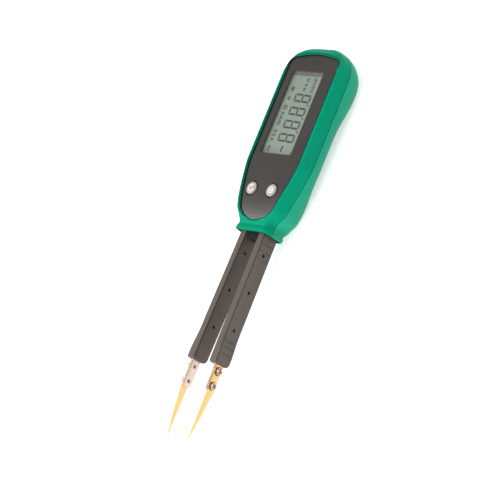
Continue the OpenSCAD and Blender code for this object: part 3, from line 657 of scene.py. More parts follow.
@dataclass(frozen=True)
class HousingForm:
    """The housing's surface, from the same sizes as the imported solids.

    h is the distance from the collar's lip towards the head. Of a section, a is the half width
    and b the depth from the seam.
    """

    lip_y: float = LIP_Y
    length: float = 87.5
    width: float = 35.0
    height: float = 19.98
    seam: float = 13.1
    wall: float = 1.6
    grip: float = 3.3
    neck_w: float = 18.4
    neck_l: float = 4.2
    lip_w: float = 19.4
    lip_l: float = 1.1
    lip_z: float = 5.2
    lip_top: float = 18.0
    lip_roof: float = 1.5
    lip_round: float = 0.3
    lip_flat: float = 0.6
    valley: float = 0.2
    valley_l: float = 2.8
    dip: float = 0.35
    neck_dip: float = 0.3
    shoulder_w: float = 4.0
    shoulder_l: float = 6.0
    full_l: float = 32.0
    flare_power: float = 1.25
    head_l: float = 16.5
    head_power: float = 2.5
    front_head_l: float = 10.0
    front_head_power: float = 2.4
    back_head_l: float = 12.0
    back_head_power: float = 2.2
    bulge_from: float = 2.6
    bulge: float = 11.2
    bulge_end: float = 13.0
    grip_in: float = 38.5
    rim_l: float = 5.2
    crown_from: float = 19.0
    crown: float = 0.0055
    floor: float = 16.2
    draft: float = 0.3
    rim_round: float = 1.5
    neck_round: float = 0.5
    head_round: float = 0.6
    neck_round_in: Spot = (1.0, 3.5)
    neck_round_out: Spot = (6.0, 14.0)
    head_round_in: Spot = (1.0, 3.0)
    round_inset: float = 0.6
    round_most: float = 0.9
    round_least: float = 0.2
    collar_thin: float = 0.8
    thick_between: Spot = (1.0, 6.0)
    slit: float = 0.15
    slit_depth: float = 0.7
    slit_round: float = 0.14
    slit_share: float = 0.1
    slit_round_share: float = 0.2
    lip_square: float = 8.0
    back_square: float = 2.8
    head_square: float = 2.0
    square_between: Spot = (1.0, 8.0)
    apex: float = 0.3
    dense_l: float = 9.0
    dense_power: float = 1.15
    rows: tuple[int, int, int] = (30, 44, 26)
    least_step: float = 0.004

    @property
    def crest(self) -> float:
        """Where the rounded head starts."""
        return self.length - self.head_l

    def collar(self, h: float) -> float:
        """Share of the inset that counts at h, less in the thin collar."""
        return mix(self.collar_thin, 1, rise(h, *self.thick_between))

    def half_width(self, h: float, inset: float) -> float:
        """Half width at the seam.

        Args:
            h: distance from the lip.
            inset: how far inside the outer surface.

        Returns:
            The half width, 0 past the head.
        """
        if h < self.neck_l:
            full = mix(self.lip_w, self.neck_w, rise(h, self.lip_l, self.neck_l))
        else:
            share = clamp((h - self.neck_l) / (self.full_l - self.neck_l))
            flare = 1 - (1 - share) ** self.flare_power
            shoulder = rise(h, self.neck_l, self.neck_l + self.shoulder_l)
            full = (self.neck_w + self.shoulder_w * shoulder
                    + (self.width - self.neck_w - self.shoulder_w) * flare)
        return (full / 2 - inset * self.collar(h)) * super_fall(
            (h - self.crest) / (self.head_l - inset), self.head_power)

    def back_z(self, h: float) -> float:
        """Height of the back's middle line: the lip, a bulge, then the waist.

        Args:
            h: distance from the lip.

        Returns:
            The height.
        """
        if h < self.bulge_from:
            return self.lip_z + self.neck_dip * rise(h, self.lip_l, self.bulge_from)
        if h < self.bulge:
            share = 1 - (h - self.bulge_from) / (self.bulge - self.bulge_from)
            return (self.lip_z + self.neck_dip + self.dip) * share ** 2 - self.dip
        start, end = self.bulge_end, self.length - self.grip_in
        return mix(-self.dip, self.grip,
                   rise(h, start, self.full_l) * (1 - rise(h, end, self.crest)))

    def back_depth(self, h: float, inset: float) -> float:
        """Depth of the back under the seam, inset from the outer surface."""
        return (self.seam - inset * self.collar(h) - self.back_z(h)) * super_fall(
            (h - self.length + self.back_head_l) / (self.back_head_l - inset),
            self.back_head_power)

    def foot_fall(self, h: float) -> float:
        """How far the rim and the plate curve down at h towards the collar."""
        return self.crown * max(self.crown_from - h, 0) ** 2

    def rim_share(self, h: float) -> float:
        """How far the front has risen at h from the collar's valley to the rim."""
        return rise(h, self.valley_l, self.rim_l)

    def front_z(self, h: float) -> float:
        """Height of the front: the lip, a shallow valley, then the rim."""
        low = self.lip_top - self.valley * rise(h, self.lip_l, self.valley_l)
        return mix(low, self.height - self.foot_fall(h), self.rim_share(h))

    def inner_z(self, h: float) -> float:
        """Height of the front's inner face."""
        return mix(self.front_z(h) - self.lip_roof, self.floor, self.rim_share(h))

    def front_depth(self, h: float, inset: float, inside: bool = False) -> float:
        """Height of the front over the seam.

        Args:
            h: distance from the lip.
            inset: how far inside the head's outer surface.
            inside: True for the inner face.

        Returns:
            The height, 0 past the head.
        """
        face = self.inner_z(h) if inside else self.front_z(h)
        return (face - self.seam) * super_fall(
            (h - self.length + self.front_head_l) / (self.front_head_l - inset),
            self.front_head_power)

    def front_round(self, h: float) -> float:
        """Radius of the rim's outer edge: larger over the shoulders and at the head."""
        neck = rise(h, *self.neck_round_in) * (1 - rise(h, *self.neck_round_out))
        after, before = self.head_round_in
        head = rise(h, self.crest + after, self.length - before)
        return self.rim_round + self.neck_round * neck + self.head_round * head

    def edge_radius(self, h: float, a: float, b: float, inset: float = 0.0) -> float:
        """Radius of the rim's outer edge as it fits a section.

        Args:
            h: distance from the lip.
            a: half width of the section.
            b: depth of the section.
            inset: how far inside the outer surface.

        Returns:
            The radius.
        """
        fit = min(self.front_round(h) - self.round_inset * inset, min(a, b) * self.round_most)
        return max(fit, min(a, b) * self.round_least)

    def lean(self, b: float) -> float:
        """How far the draft takes the side wall in over a height of b."""
        return self.draft * b / (self.height - self.seam)

    def rim_at(self, x: float, h: float) -> float:
        """Height of the front's outer surface at x and h.

        Args:
            x: distance from the middle.
            h: distance from the lip.

        Returns:
            The height.
        """
        a, b = self.half_width(h, 0), self.front_depth(h, 0)
        radius = self.edge_radius(h, a, b)
        flat = a - self.lean(b) - radius
        return self.seam + b - radius * round_fall((abs(x) - flat) / radius)

    def back_power(self, h: float) -> float:
        """Squareness of the back's section."""
        square = mix(self.lip_square, self.back_square, rise(h, *self.square_between))
        return mix(square, self.head_square, rise(h, self.crest, self.length))

    def back_surface(self, x: float, h: float) -> float:
        """Height of the back's outer surface at x and h."""
        a, b, n = self.half_width(h, 0), self.back_depth(h, 0), self.back_power(h)
        return max(self.seam - b * (1 - clamp(abs(x) / a) ** n) ** (1 / n), 0)

    def half_slit(self, b: float) -> float:
        """Half the width of the seam's slit where a section is b deep."""
        return min(self.slit, b * self.slit_share)

    def seam_edge(self, a: float, b: float, way: int) -> tuple[list[Spot], float]:
        """A shell's rounded edge beside the seam's slit.

        Args:
            a: half width of the section.
            b: depth of the section.
            way: 1 for the front shell, -1 for the rear one.

        Returns:
            The points (x, z) from the slit's ground outwards, and the height where the wall
            starts.
        """
        low = self.seam + way * self.half_slit(b)
        fit = min(self.slit_round, min(a, b) * self.slit_round_share)
        ground = max(a - self.slit_depth, a / 2)
        return [(ground, low), (a - fit, low), (a - fit * 0.3, low + way * fit * 0.3)], (
            low + way * fit)

    def stations(self, extra: Iterable[float] = ()) -> list[float]:
        """Distances from the lip for the shells' rows, close together where the form turns.

        Args:
            extra: more distances that rows fall on.

        Returns:
            The distances in rising order.
        """
        foot, middle, head = self.rows
        spots = [self.dense_l * (i / foot) ** self.dense_power for i in range(foot + 1)]
        spots += [mix(self.dense_l, self.crest, i / middle) for i in range(1, middle + 1)]
        spots += [self.crest + (self.head_l - LEAST) * math.sin(math.pi / 2 * i / head)
                  for i in range(1, head + 1)]
        kept: list[float] = []
        for spot in sorted(set(spots) | set(extra)):
            if not kept or spot - kept[-1] > self.least_step:
                kept.append(spot)
        return kept

    def rows_of(self, row: Callable[[float, float, float], Row], spots: Iterable[float],
                way: int) -> list[Row]:
        """All rows of a shell: round over the lip's edge, along the shell, shut at the head.

        Args:
            row: makes one loop from h, an inset and the loop's own distance from the lip.
            spots: distances from the lip.
            way: 1 for the front shell, -1 for the rear one.

        Returns:
            The loops.
        """
        edge = self.lip_round
        rows = [row(0, self.lip_flat, 0.0)]
        rows += [row(edge * c, edge * s, edge * c) for c, s in quarter(4)]
        rows += [row(h, 0, h) for h in spots if h > edge]
        tip = (0.0, self.lip_y + self.length, self.seam + way * self.apex)
        return rows + [[tip] * len(rows[0])]

    def ring(self, outer: list[Spot], inner: list[Spot], at: float) -> Row:
        """Joins a shell's two half profiles into one closed loop.

        Args:
            outer: right half of the outer profile, from the seam to the middle.
            inner: right half of the inner profile, from the seam to the middle.
            at: the loop's distance from the lip.

        Returns:
            The loop: the outer profile from right to left, the inner one back again.
        """
        loop = outer + [(-x, z) for x, z in reversed(outer[:-1])]
        loop += [(-x, z) for x, z in inner] + [(x, z) for x, z in reversed(inner[:-1])]
        return [(x, self.lip_y + at, z) for x, z in loop]


@dataclass(frozen=True)
class PlateForm:
    """The dark plate: a round foot, tapered then straight sides and a bowed top.

    Its face curves down at the foot and, close to the head, at the top.
    """

    width: float = 29.5
    low: float = 5.0
    high: float = 82.7
    corner: float = 4.0
    bow: float = 1.4
    foot_l: float = 6.0
    taper_l: float = 26.0
    taper_power: float = 1.3
    foot_share: float = 0.563
    face: float = 19.2
    floor: float = 17.6
    top_from: float = 77.0
    top_crown: float = 0.021
    beyond: float = 0.004

    def face_at(self, form: HousingForm, h: float) -> float:
        """Height of the plate's face at h from the lip."""
        return self.face - form.foot_fall(h) - self.top_crown * max(h - self.top_from, 0) ** 2

    def half_at(self, h: float, grow: float) -> float:
        """Half width of the outline.

        Args:
            h: distance from the lip.
            grow: how far outside the plate's own outline.

        Returns:
            The half width, 0 outside the outline.
        """
        half, low, top = self.width / 2 + grow, self.low - grow, self.high + grow
        radius = self.corner + grow
        centre, shoulder = half - radius, top - self.bow - radius
        if h <= low or h >= top:
            return 0.0
        if h < low + self.taper_l:
            t = (h - low) / self.taper_l
            nose = math.sqrt(1 - (1 - clamp(t * self.taper_l / self.foot_l)) ** 2)
            taper = 1 - (1 - t) ** self.taper_power
            return half * (self.foot_share * nose + (1 - self.foot_share) * taper)
        if h <= shoulder:
            return half
        if h <= top - self.bow:
            return centre + math.sqrt(max(radius ** 2 - (h - shoulder) ** 2, 0))
        return centre * math.sqrt((top - h) / self.bow)

    def marks(self, grow: float) -> list[float]:
        """Distances where the outline turns fast, for rows of points to fall on.

        Args:
            grow: how far outside the plate's own outline.

        Returns:
            The distances, from just before the outline to just past it.
        """
        low, top = self.low - grow, self.high + grow
        foot = [low + self.taper_l * (i / 40) ** 2.4 for i in range(41)]
        radius = self.corner + grow
        shoulder = top - self.bow - radius
        corner = [shoulder + radius * math.sin(math.pi / 2 * i / 8) for i in range(9)]
        crown = [top - self.bow * (i / 14) ** 2 for i in range(15)]
        return [low - self.beyond, *foot, *corner, *crown, top + self.beyond]


def openings(window: Spot, corner: float, hole: float, steps: int, cut: Spot) -> Solid:
    """Makes the tool for the display's window and the two buttons' holes.

    Args:
        window: the window's width and length.
        corner: radius of its corners.
        hole: radius of the buttons' holes.
        steps: segments round a hole.
        cut: lowest and highest z of the tool.

    Returns:
        The tool.
    """
    tool = Solid().prism(round_rectangle(*window, corner, (WINDOW_X, WINDOW_Y)), *cut)
    for x in BUTTON_X:
        tool.prism(circle(hole, (x, BUTTON_Y), steps), *cut)
    return tool


@dataclass
class FrontShell:
    """The front shell: side wall, rounded rim and the pocket that the plate lies in."""

    form: HousingForm
    plate: PlateForm
    gap: float = 0.15
    edge: float = 0.3
    inner_round: float = 1.4
    window: Spot = (20.6, 40.8)
    window_round: float = 0.2
    hole: float = 4.15
    cut: Spot = (14, 19)
    pocket_most: float = 0.97
    brim_most: float = 0.985

    def outer(self, h: float, inset: float) -> list[Spot]:
        """Right half of the outer profile from the seam to the middle.

        Args:
            h: distance from the lip.
            inset: how far inside the outer surface.

        Returns:
            The points (x, z).
        """
        f = self.form
        a = max(f.half_width(h, 0) - inset, LEAST)
        b = max(f.front_depth(h, 0) - inset, LEAST)
        radius, lean, top = f.edge_radius(h, a, b, inset), f.lean(b), f.seam + b
        pocket = min(self.plate.half_at(h, self.gap), a * self.pocket_most)
        brim = min(pocket + self.edge if pocket > 0 else 0.0, a * self.brim_most)
        centre, knee = a - lean - radius, top - radius
        spots, start = f.seam_edge(a, b, 1)
        spots.append((a, start))
        spots += [(a - lean * t, mix(start, knee, t)) for t in (0.25, 0.5, 0.75, 1)]
        limit = math.pi / 2
        if brim > centre:
            limit = math.acos(clamp(1 - (a - lean - brim) / radius, -1, 1))
        turns = [limit * i / 12 for i in range(1, 13)]
        spots += [(centre + radius * math.cos(t), knee + radius * math.sin(t)) for t in turns]
        shore, rim = spots[-1]
        end = min(brim, shore)
        spots += [(mix(shore, end, i / 4), rim) for i in range(1, 5)]
        if pocket > 0:
            floor = min(self.plate.floor, rim - LEAST)
            drop = min(self.edge, rim - floor)
            spots += [(mix(end, pocket, 1 - s), rim - drop * c) for c, s in quarter(3, 1)]
            return spots + [(pocket, floor), (pocket / 2, floor), (0.0, floor)]
        return spots + [(end * (1 - i / 3), rim) for i in (1, 2, 3)] + [(0.0, rim)] * 3

    def inner(self, h: float) -> list[Spot]:
        """Right half of the inner profile from the seam to the middle.

        Args:
            h: distance from the lip.

        Returns:
            The points (x, z).
        """
        f = self.form
        a = max(f.half_width(h, f.wall), LEAST / 2)
        b = max(f.front_depth(h, f.wall, True), LEAST / 2)
        radius = min(self.inner_round, a * 0.5, b * 0.5)
        low, top = f.seam + f.half_slit(b), f.seam + b
        spots = [(a, low), (a, mix(low, top - radius, 0.5))]
        spots += [(a - radius * c, top - radius * s) for c, s in quarter(4)]
        return spots + [(a * 0.5, top), (0.0, top)]

    def row(self, h: float, inset: float, at: float) -> Row:
        """One closed loop of points at h, inset from the surface and placed at a distance."""
        return self.form.ring(self.outer(h, inset), self.inner(h), at)

    def build(self) -> bpy.types.Object:
        """Builds the shell and cuts its window and button openings.

        Returns:
            The piece.
        """
        f = self.form
        rows = f.rows_of(self.row, f.stations(self.plate.marks(self.gap)), 1)
        shell = Solid().loft(rows, caps=False).object("front_shell_skin")
        put_lids(shell)
        carve(shell, openings(self.window, self.window_round, self.hole, 48, self.cut))
        take_lids(shell)
        return dress(shell, "housing", GREEN, ["front_shell"])


@dataclass
class RearShell:
    """The rear shell: a waisted, rounded back with the battery opening and screw holes."""

    form: HousingForm
    steps: int = 26
    opening: Spot = (24.7, 27.8)
    cut: Spot = (-1, 8)
    post_r: float = 2.3
    post_l: float = 1.3
    hole_r: float = 1.95

    def profile(self, a: float, b: float, n: float, floor: float) -> list[Spot]:
        """Right half of a back profile from the seam to the middle.

        Args:
            a: half width.
            b: depth.
            n: squareness.
            floor: height under which the profile is flat.

        Returns:
            The points (x, z).
        """
        spots = []
        for turn in spread(0, math.pi / 2, self.steps + 1):
            x = a * abs(math.cos(turn)) ** (2 / n)
            z = self.form.seam - b * math.sin(turn) ** (2 / n)
            spots.append((x, max(z, floor)))
        return spots[:-1] + [(0.0, spots[-1][1])]

    def row(self, h: float, inset: float, at: float) -> Row:
        """One closed loop of points.

        Args:
            h: distance from the lip that gives the section.
            inset: how far inside the outer surface.
            at: the loop's own distance from the lip.

        Returns:
            The loop.
        """
        f = self.form
        n = f.back_power(h)
        a = max(f.half_width(h, 0) - inset, LEAST)
        b = max(f.back_depth(h, 0) - inset, LEAST)
        outer, start = f.seam_edge(a, b, -1)
        low = outer[0][1]
        outer += [(x, min(z, start)) for x, z in self.profile(a, b, n, 0.0)]
        a_in = max(f.half_width(h, f.wall), LEAST / 2)
        b_in = max(f.back_depth(h, f.wall), LEAST / 2)
        inner = [(x, min(z, low)) for x, z in self.profile(a_in, b_in, n, f.wall)[::2]]
        return f.ring(outer, inner, at)

    def build(self) -> bpy.types.Object:
        """Builds the shell and cuts the battery opening and the screw holes.

        Returns:
            The piece.
        """
        f = self.form
        rows = f.rows_of(self.row, f.stations(), -1)
        shell = Solid().loft(rows, caps=False).object("rear_shell_skin")
        tool, posts, holes = Solid(), Solid(), Solid()
        tool.prism(round_rectangle(*self.opening, COVER_ROUND, (0, COVER_Y)), *self.cut)
        for x, y, z in CASE_SCREWS:
            posts.prism(circle(self.post_r, (x, y)), z - self.post_l, f.seam - f.apex)
            holes.prism(circle(self.hole_r, (x, y)), self.cut[0], z)
        put_lids(shell)
        carve(shell, tool)
        carve(shell, posts, Join.ADD)
        carve(shell, holes)
        take_lids(shell)
        return dress(shell, "housing", REAR_GREEN, ["rear_shell"])


@dataclass
class BatteryCover:
    """The battery cover: a patch of the back's own surface with rounded edges.

    holes are (radius, top) of the bores for its screw's shank and head.
    """

    form: HousingForm
    width: float = 24.4
    length: float = 27.5
    depth: float = 1.6
    edge: float = 0.25
    rings: int = 12
    middle: float = 0.4
    least_round: float = 0.3
    holes: tuple[Spot, Spot] = ((0.9, 9.0), (1.6, 4.0))

    def ring(self, inset: float, sink: float) -> Row:
        """One ring of the patch, inset from its outline and sunk under the surface."""
        spots = round_rectangle(self.width - 2 * inset, self.length - 2 * inset,
                                max(COVER_ROUND - inset, self.least_round), (0, COVER_Y), 10)
        return [(x, y, self.form.back_surface(x, y - self.form.lip_y) + sink) for x, y in spots]

    def build(self) -> bpy.types.Object:
        """Builds the cover and drills its screw hole.

        Returns:
            The piece.
        """
        rows = [self.ring(0, self.depth), self.ring(0, self.depth / 2)]
        rows += [self.ring(self.edge * c, self.edge * s) for c, s in quarter(4)]
        reach = self.width / 2 - self.middle
        rows += [self.ring(mix(self.edge, reach, i / self.rings), 0)
                 for i in range(1, self.rings + 1)]
        rows += [self.ring(mix(reach, 0, i / self.rings), self.depth)
                 for i in range(self.rings)]
        cover = Solid().loft([*rows, rows[0]], caps=False).object("battery_cover_skin")
        for radius, top in self.holes:
            carve(cover, Solid().prism(circle(radius, (0, COVER_SCREW_Y)), -1, top))
        return dress(cover, "housing", REAR_GREEN, ["battery_cover"])


# ---------------------------------------------------------------- front plate and display


@dataclass
class Plate:
    """The dark front plate, with its window and two round button openings."""

    form: HousingForm
    plate: PlateForm
    edge: float = 0.2
    window: Spot = (18.8, 39.6)
    window_round: float = 1.0
    hole: float = 3.4
    cut: Spot = (16, 21)
    cut_round: float = 0.14
    cut_sharp: float = 60.0

    def row(self, h: float) -> Row:
        """One closed loop across the plate, its upper edge rounded.

        Args:
            h: distance from the lip.

        Returns:
            The loop.
        """
        p = self.plate
        face, half = p.face_at(self.form, h), max(p.half_at(h, 0), LEAST / 2)
        edge = min(self.edge, half * 0.4)
        # close to the outline's two ends the round also runs down along the plate
        ends = min(h - p.low, p.high - h)
        if ends < self.edge:
            face -= self.edge - math.sqrt(max(self.edge ** 2 - (self.edge - ends) ** 2, 0))
        right = [(half, p.floor), (half, face - self.edge)]
        right += [(half - edge * c, face - self.edge * s) for c, s in quarter(4, 1)]
        right += [(mix(half - edge, 0, i / 6), face) for i in range(1, 6)]
        loop = right + [(0.0, face)] + [(-x, z) for x, z in reversed(right)] + [(0.0, p.floor)]
        return [(x, self.form.lip_y + h, z) for x, z in loop]

    def build(self) -> bpy.types.Object:
        """Builds the plate.

        Returns:
            The piece.
        """
        p = self.plate
        marks = sorted({m for m in p.marks(0) if p.low < m < p.high}
                       | set(spread(p.low + LEAST, p.low + self.edge, 5))
                       | set(spread(p.high - self.edge, p.high - LEAST, 5)))
        piece = Solid().loft([self.row(m) for m in marks]).object("front_plate")
        carve(piece, openings(self.window, self.window_round, self.hole, 64, self.cut))
        soften(piece, self.cut_round, self.cut_sharp)
        return dress(piece, "housing", PLATE, ["fascia"])


@dataclass
class GapShadowBand:
    """A painted shadow for the gap between the plate and the rim: a thin dark band along the
    plate's outline, laid over the gap.
    """

    form: HousingForm
    plate: PlateForm
    grow: float = 0.15
    wide: float = 0.62
    lift: float = 0.015
    least_step: float = 0.05

    def outline(self) -> list[Spot]:
        """Points (x, h) round the plate's outline, counter-clockwise from the foot.

        Returns:
            The points, none too close to the next.
        """
        p = self.plate
        marks = sorted({m for m in p.marks(self.grow)
                        if p.low - self.grow < m < p.high + self.grow}
                       | set(spread(p.low + p.taper_l, p.top_from, 24)))
        right = [(p.half_at(m, self.grow), m) for m in marks]
        loop = right + [(-x, h) for x, h in reversed(right)]
        kept = [loop[0]]
        for spot in loop[1:]:
            if math.dist(spot, kept[-1]) > self.least_step:
                kept.append(spot)
        return kept if math.dist(kept[0], kept[-1]) > self.least_step else kept[:-1]

    def section(self, face: float) -> list[Spot]:
        """The band's section, as (distance outwards, height over the rim).

        Args:
            face: height of the plate's face over the rim.

        Returns:
            The points, from the plate's edge over the rim and back under it.
        """
        over = [(-0.12, face - 0.1), (0.0, face * 0.4), (0.14, -0.04), (0.3, self.lift),
                (self.wide, self.lift)]
        return over + [(self.wide + 0.03, -0.1), (0.35, -0.3), (0.12, -0.5), (-0.1, face - 0.4)]

    def build(self) -> bpy.types.Object:
        """Builds the band.

        Returns:
            The piece.
        """
        f, spots, rows = self.form, self.outline(), []
        for i, (x, h) in enumerate(spots):
            before, after = spots[i - 1], spots[(i + 1) % len(spots)]
            along = Vector((after[0] - before[0], after[1] - before[1])).normalized()
            face = self.plate.face_at(f, h) - f.rim_at(x, h)
            places = [(x + along.y * u, h - along.x * u, lift)
                      for u, lift in self.section(face)]
            rows.append([(px, f.lip_y + ph, f.rim_at(px, ph) + lift) for px, ph, lift in places])
        band = Solid().loft([*rows, rows[0]], caps=False).object("plate_gap_shadow_band")
        # painted shadow: the band is dark green to stand in for the shade in the gap
        return dress(band, "housing", GAP_SHADOW)


class Ink(Enum):
    """How dark a mark on the display is."""

    FULL = "full"
    FAINT = "faint"


class Icon(Enum):
    """Small generic marks: each is a set of lines in a box from -1 to 1, u to read, v upright."""

    BATTERY = (((-0.9, -0.6), (0.7, -0.6), (0.7, 0.6), (-0.9, 0.6), (-0.9, -0.6)),
               ((0.98, -0.3), (0.98, 0.3)))
    BARS = (((-0.8, -0.8), (-0.8, 0.8)), ((0, -0.8), (0, 0.8)), ((0.8, -0.8), (0.8, 0.8)))
    ARCH = (((-0.8, -0.8), (-0.3, -0.8), (-0.7, 0.1), (-0.3, 0.8), (0.3, 0.8), (0.7, 0.1),
             (0.3, -0.8), (0.8, -0.8)),)
    PEAKS = (((-0.8, -0.8), (-0.8, 0.8), (0, -0.1), (0.8, 0.8), (0.8, -0.8)),)
    FORK = (((-0.5, -0.8), (-0.5, 0.8)), ((0.7, 0.7), (-0.4, 0), (0.7, -0.7)))
    STEP = (((-0.7, -0.8), (-0.7, 0.8), (0.7, 0.8)), ((-0.7, 0), (0.5, 0)))
    GATE = (((-0.7, -0.8), (-0.7, 0.5), (0.1, 0.8), (0.7, 0.4), (0.7, -0.8)),)
    DIODE = (((-1, 0), (1, 0)), ((-0.4, -0.7), (0.4, 0), (-0.4, 0.7), (-0.4, -0.7)),
             ((0.45, -0.7), (0.45, 0.7)))
    BOX = (((-0.9, -0.9), (0.9, -0.9), (0.9, 0.9), (-0.9, 0.9), (-0.9, -0.9)),
           ((-0.35, 0), (0.35, 0)))
    RING = (((-0.7, 0), (-0.4, 0.7), (0.4, 0.7), (0.7, 0), (0.4, -0.7), (-0.4, -0.7),
             (-0.7, 0)),)


@dataclass(frozen=True)
class Mark:
    """One icon on the display: its middle in y and x, and its half sizes in u and v."""

    icon: Icon
    y: float
    x: float
    wide: float = 0.7
    tall: float = 0.85
    ink: Ink = Ink.FAINT


SIDE_X, UPPER_X, LOWER_X = -8.4, -1.4, 3.3
MARKS = (
    Mark(Icon.BATTERY, 40.5, SIDE_X, 1.3, 0.8, Ink.FULL),
    Mark(Icon.STEP, 45.1, SIDE_X, ink=Ink.FULL), Mark(Icon.RING, 47.0, SIDE_X, ink=Ink.FULL),
    Mark(Icon.FORK, 48.9, SIDE_X, ink=Ink.FULL), Mark(Icon.PEAKS, 52.5, SIDE_X),
    Mark(Icon.GATE, 54.2, SIDE_X), Mark(Icon.STEP, 55.8, SIDE_X), Mark(Icon.RING, 57.4, SIDE_X),
    Mark(Icon.BOX, 60.2, SIDE_X, 0.95, 0.95, Ink.FULL), Mark(Icon.BARS, 64.6, SIDE_X),
    Mark(Icon.DIODE, 69.2, SIDE_X, 1.4, 1.1, Ink.FULL), Mark(Icon.PEAKS, 69.3, UPPER_X),
    Mark(Icon.FORK, 71.4, UPPER_X), Mark(Icon.ARCH, 73.8, UPPER_X, 0.9),
    Mark(Icon.GATE, 68.7, LOWER_X), Mark(Icon.RING, 70.5, LOWER_X),
    Mark(Icon.GATE, 72.3, LOWER_X), Mark(Icon.STEP, 74.2, LOWER_X),
)


@dataclass
class Display:
    """The crystal panel with its border, light guide and segments.

    Its marks read along +Y and stand up towards -X.
    """

    top: float = 17.85
    under: float = 15.7
    layer: float = 0.2
    border: float = 0.05
    sides: Spot = (-12.05, 8.25)
    ends: Spot = (37.5, 77.9)
    low: float = 37.65
    high: float = 75.7
    guide_gap: float = 0.3
    base_sink: float = 0.03
    soft: float = 0.04
    ink: float = 0.02
    ink_root: float = 0.01
    ink_step: float = 0.0004
    faint_sink: float = 0.004
    digits: int = 4
    digit_x: float = -0.35
    first: float = 46.1
    pitch: float = 6.3
    tall: float = 9.9
    wide: float = 4.0
    thick: float = 0.92
    gap: float = 0.13
    end_taper: Spot = (0.18, 1.1)
    middle_taper: Spot = (0.5, 0.95)
    slant: float = 0.05
    stroke_ends: float = 0.8
    dot_r: float = 0.48
    dot_x: float = 4.5
    dot_in: float = 3.12
    sign: tuple[Spot, Spot] = ((-0.6, 39.8), (-0.6, 41.9))
    icon_thick: float = 0.44

    def plate_at(self, name: str, x: Spot, y: Spot, z: Spot, finish: Finish,
                 replaces: Sequence[str] = ()) -> bpy.types.Object:
        """Builds one flat softened plate.

        Args:
            name: name of the piece.
            x: its limits along x.
            y: its limits along y.
            z: its limits along z.
            finish: its material.
            replaces: CAD nodes that it replaces.

        Returns:
            The piece.
        """
        outline = [(x[0], y[0]), (x[1], y[0]), (x[1], y[1]), (x[0], y[1])]
        piece = Solid().prism(outline, *z).bevel(self.soft).object(name)
        return dress(piece, "housing", finish, replaces)

    def line(self, a: Spot, b: Spot, thick: float) -> list[Spot]:
        """A straight stroke, a little longer than its two ends' distance.

        Args:
            a: its start.
            b: its end.
            thick: its width.

        Returns:
            The stroke's four corners.
        """
        along = (Vector(b) - Vector(a)).normalized() * thick / 2
        across = Vector((-along.y, along.x))
        start, end = Vector(a) - along * self.stroke_ends, Vector(b) + along * self.stroke_ends
        return [tuple(p) for p in (start - across, end - across, end + across, start + across)]

    def digit(self, y: float) -> list[list[Spot]]:
        """The seven bars of a figure eight, slanted a little.

        Args:
            y: the figure's middle.

        Returns:
            The bars' outlines.
        """
        x, thick, gap = self.digit_x, self.thick, self.gap
        half, reach = self.wide / 2, self.tall / 2
        middle_tip, middle_cut = (half - thick * t - gap for t in self.middle_taper)
        tip, cut = (half - thick * t - gap for t in self.end_taper)
        ends = [[(x + way * reach, y - tip), (x + way * reach, y + tip),
                 (x + way * (reach - thick), y + cut), (x + way * (reach - thick), y - cut)]
                for way in (-1, 1)]
        middle = [(x - thick / 2, y - middle_cut), (x - thick / 2, y + middle_cut),
                  (x, y + middle_tip), (x + thick / 2, y + middle_cut),
                  (x + thick / 2, y - middle_cut), (x, y - middle_tip)]
        bars = [ends[0], middle, ends[1]]
        for side in (-1, 1):
            for way in (-1, 1):
                near, far = x + way * gap, x + way * (reach - gap - 0.12)
                rim, back = y + side * half, y + side * (half - thick)
                bars.append([(near, rim - side * thick * 0.4), (near + way * 0.35, rim),
                             (far, rim), (far - way * thick, back),
                             (near + way * thick * 0.5, back)])
        return [[(px, py - self.slant * (px - x)) for px, py in bar] for bar in bars]

    def outlines(self) -> dict[Ink, list[list[Spot]]]:
        """Collects the outlines of every mark.

        Returns:
            The outlines in x and y, by how dark they are.
        """
        found: dict[Ink, list[list[Spot]]] = {Ink.FULL: [], Ink.FAINT: []}
        places = [self.first + self.pitch * i for i in range(self.digits)]
        for y in places:
            found[Ink.FULL] += self.digit(y)
        found[Ink.FULL] += [circle(self.dot_r, (self.dot_x, y + self.dot_in), 14)
                            for y in places[:-1]]
        found[Ink.FULL].append(self.line(*self.sign, self.thick))
        for mark in MARKS:
            for line in mark.icon.value:
                spots = [(mark.x - v * mark.tall, mark.y + u * mark.wide) for u, v in line]
                found[mark.ink] += [self.line(a, b, self.icon_thick)
                                    for a, b in zip(spots, spots[1:])]
        return found

    def build(self) -> list[bpy.types.Object]:
        """Builds the panel, its border and its segments.

        Returns:
            The pieces.
        """
        face = (self.top - self.layer, self.top)
        inner = (self.sides[0] + self.border, self.sides[1] - self.border)
        guide = (self.high + self.guide_gap, self.ends[1] - self.border)
        pieces = [
            self.plate_at("display_border_glass", self.sides, self.ends,
                          (self.under, self.top - self.base_sink), MASK, ["lcd_panel"]),
            self.plate_at("display_crystal_area", inner, (self.low, self.high), face, CRYSTAL),
            self.plate_at("display_light_guide", inner, guide, face, STRIP),
        ]
        for ink, outlines in self.outlines().items():
            solid = Solid()
            low = self.top - self.ink_root - (self.faint_sink if ink is Ink.FAINT else 0)
            for i, outline in enumerate(outlines):
                solid.prism(outline, low, self.top + self.ink - self.ink_step * (i % 8))
            finish = SEGMENT if ink is Ink.FULL else FAINT
            piece = solid.object(f"display_segments_{ink.value}")
            pieces.append(dress(piece, "housing", finish))
        return pieces


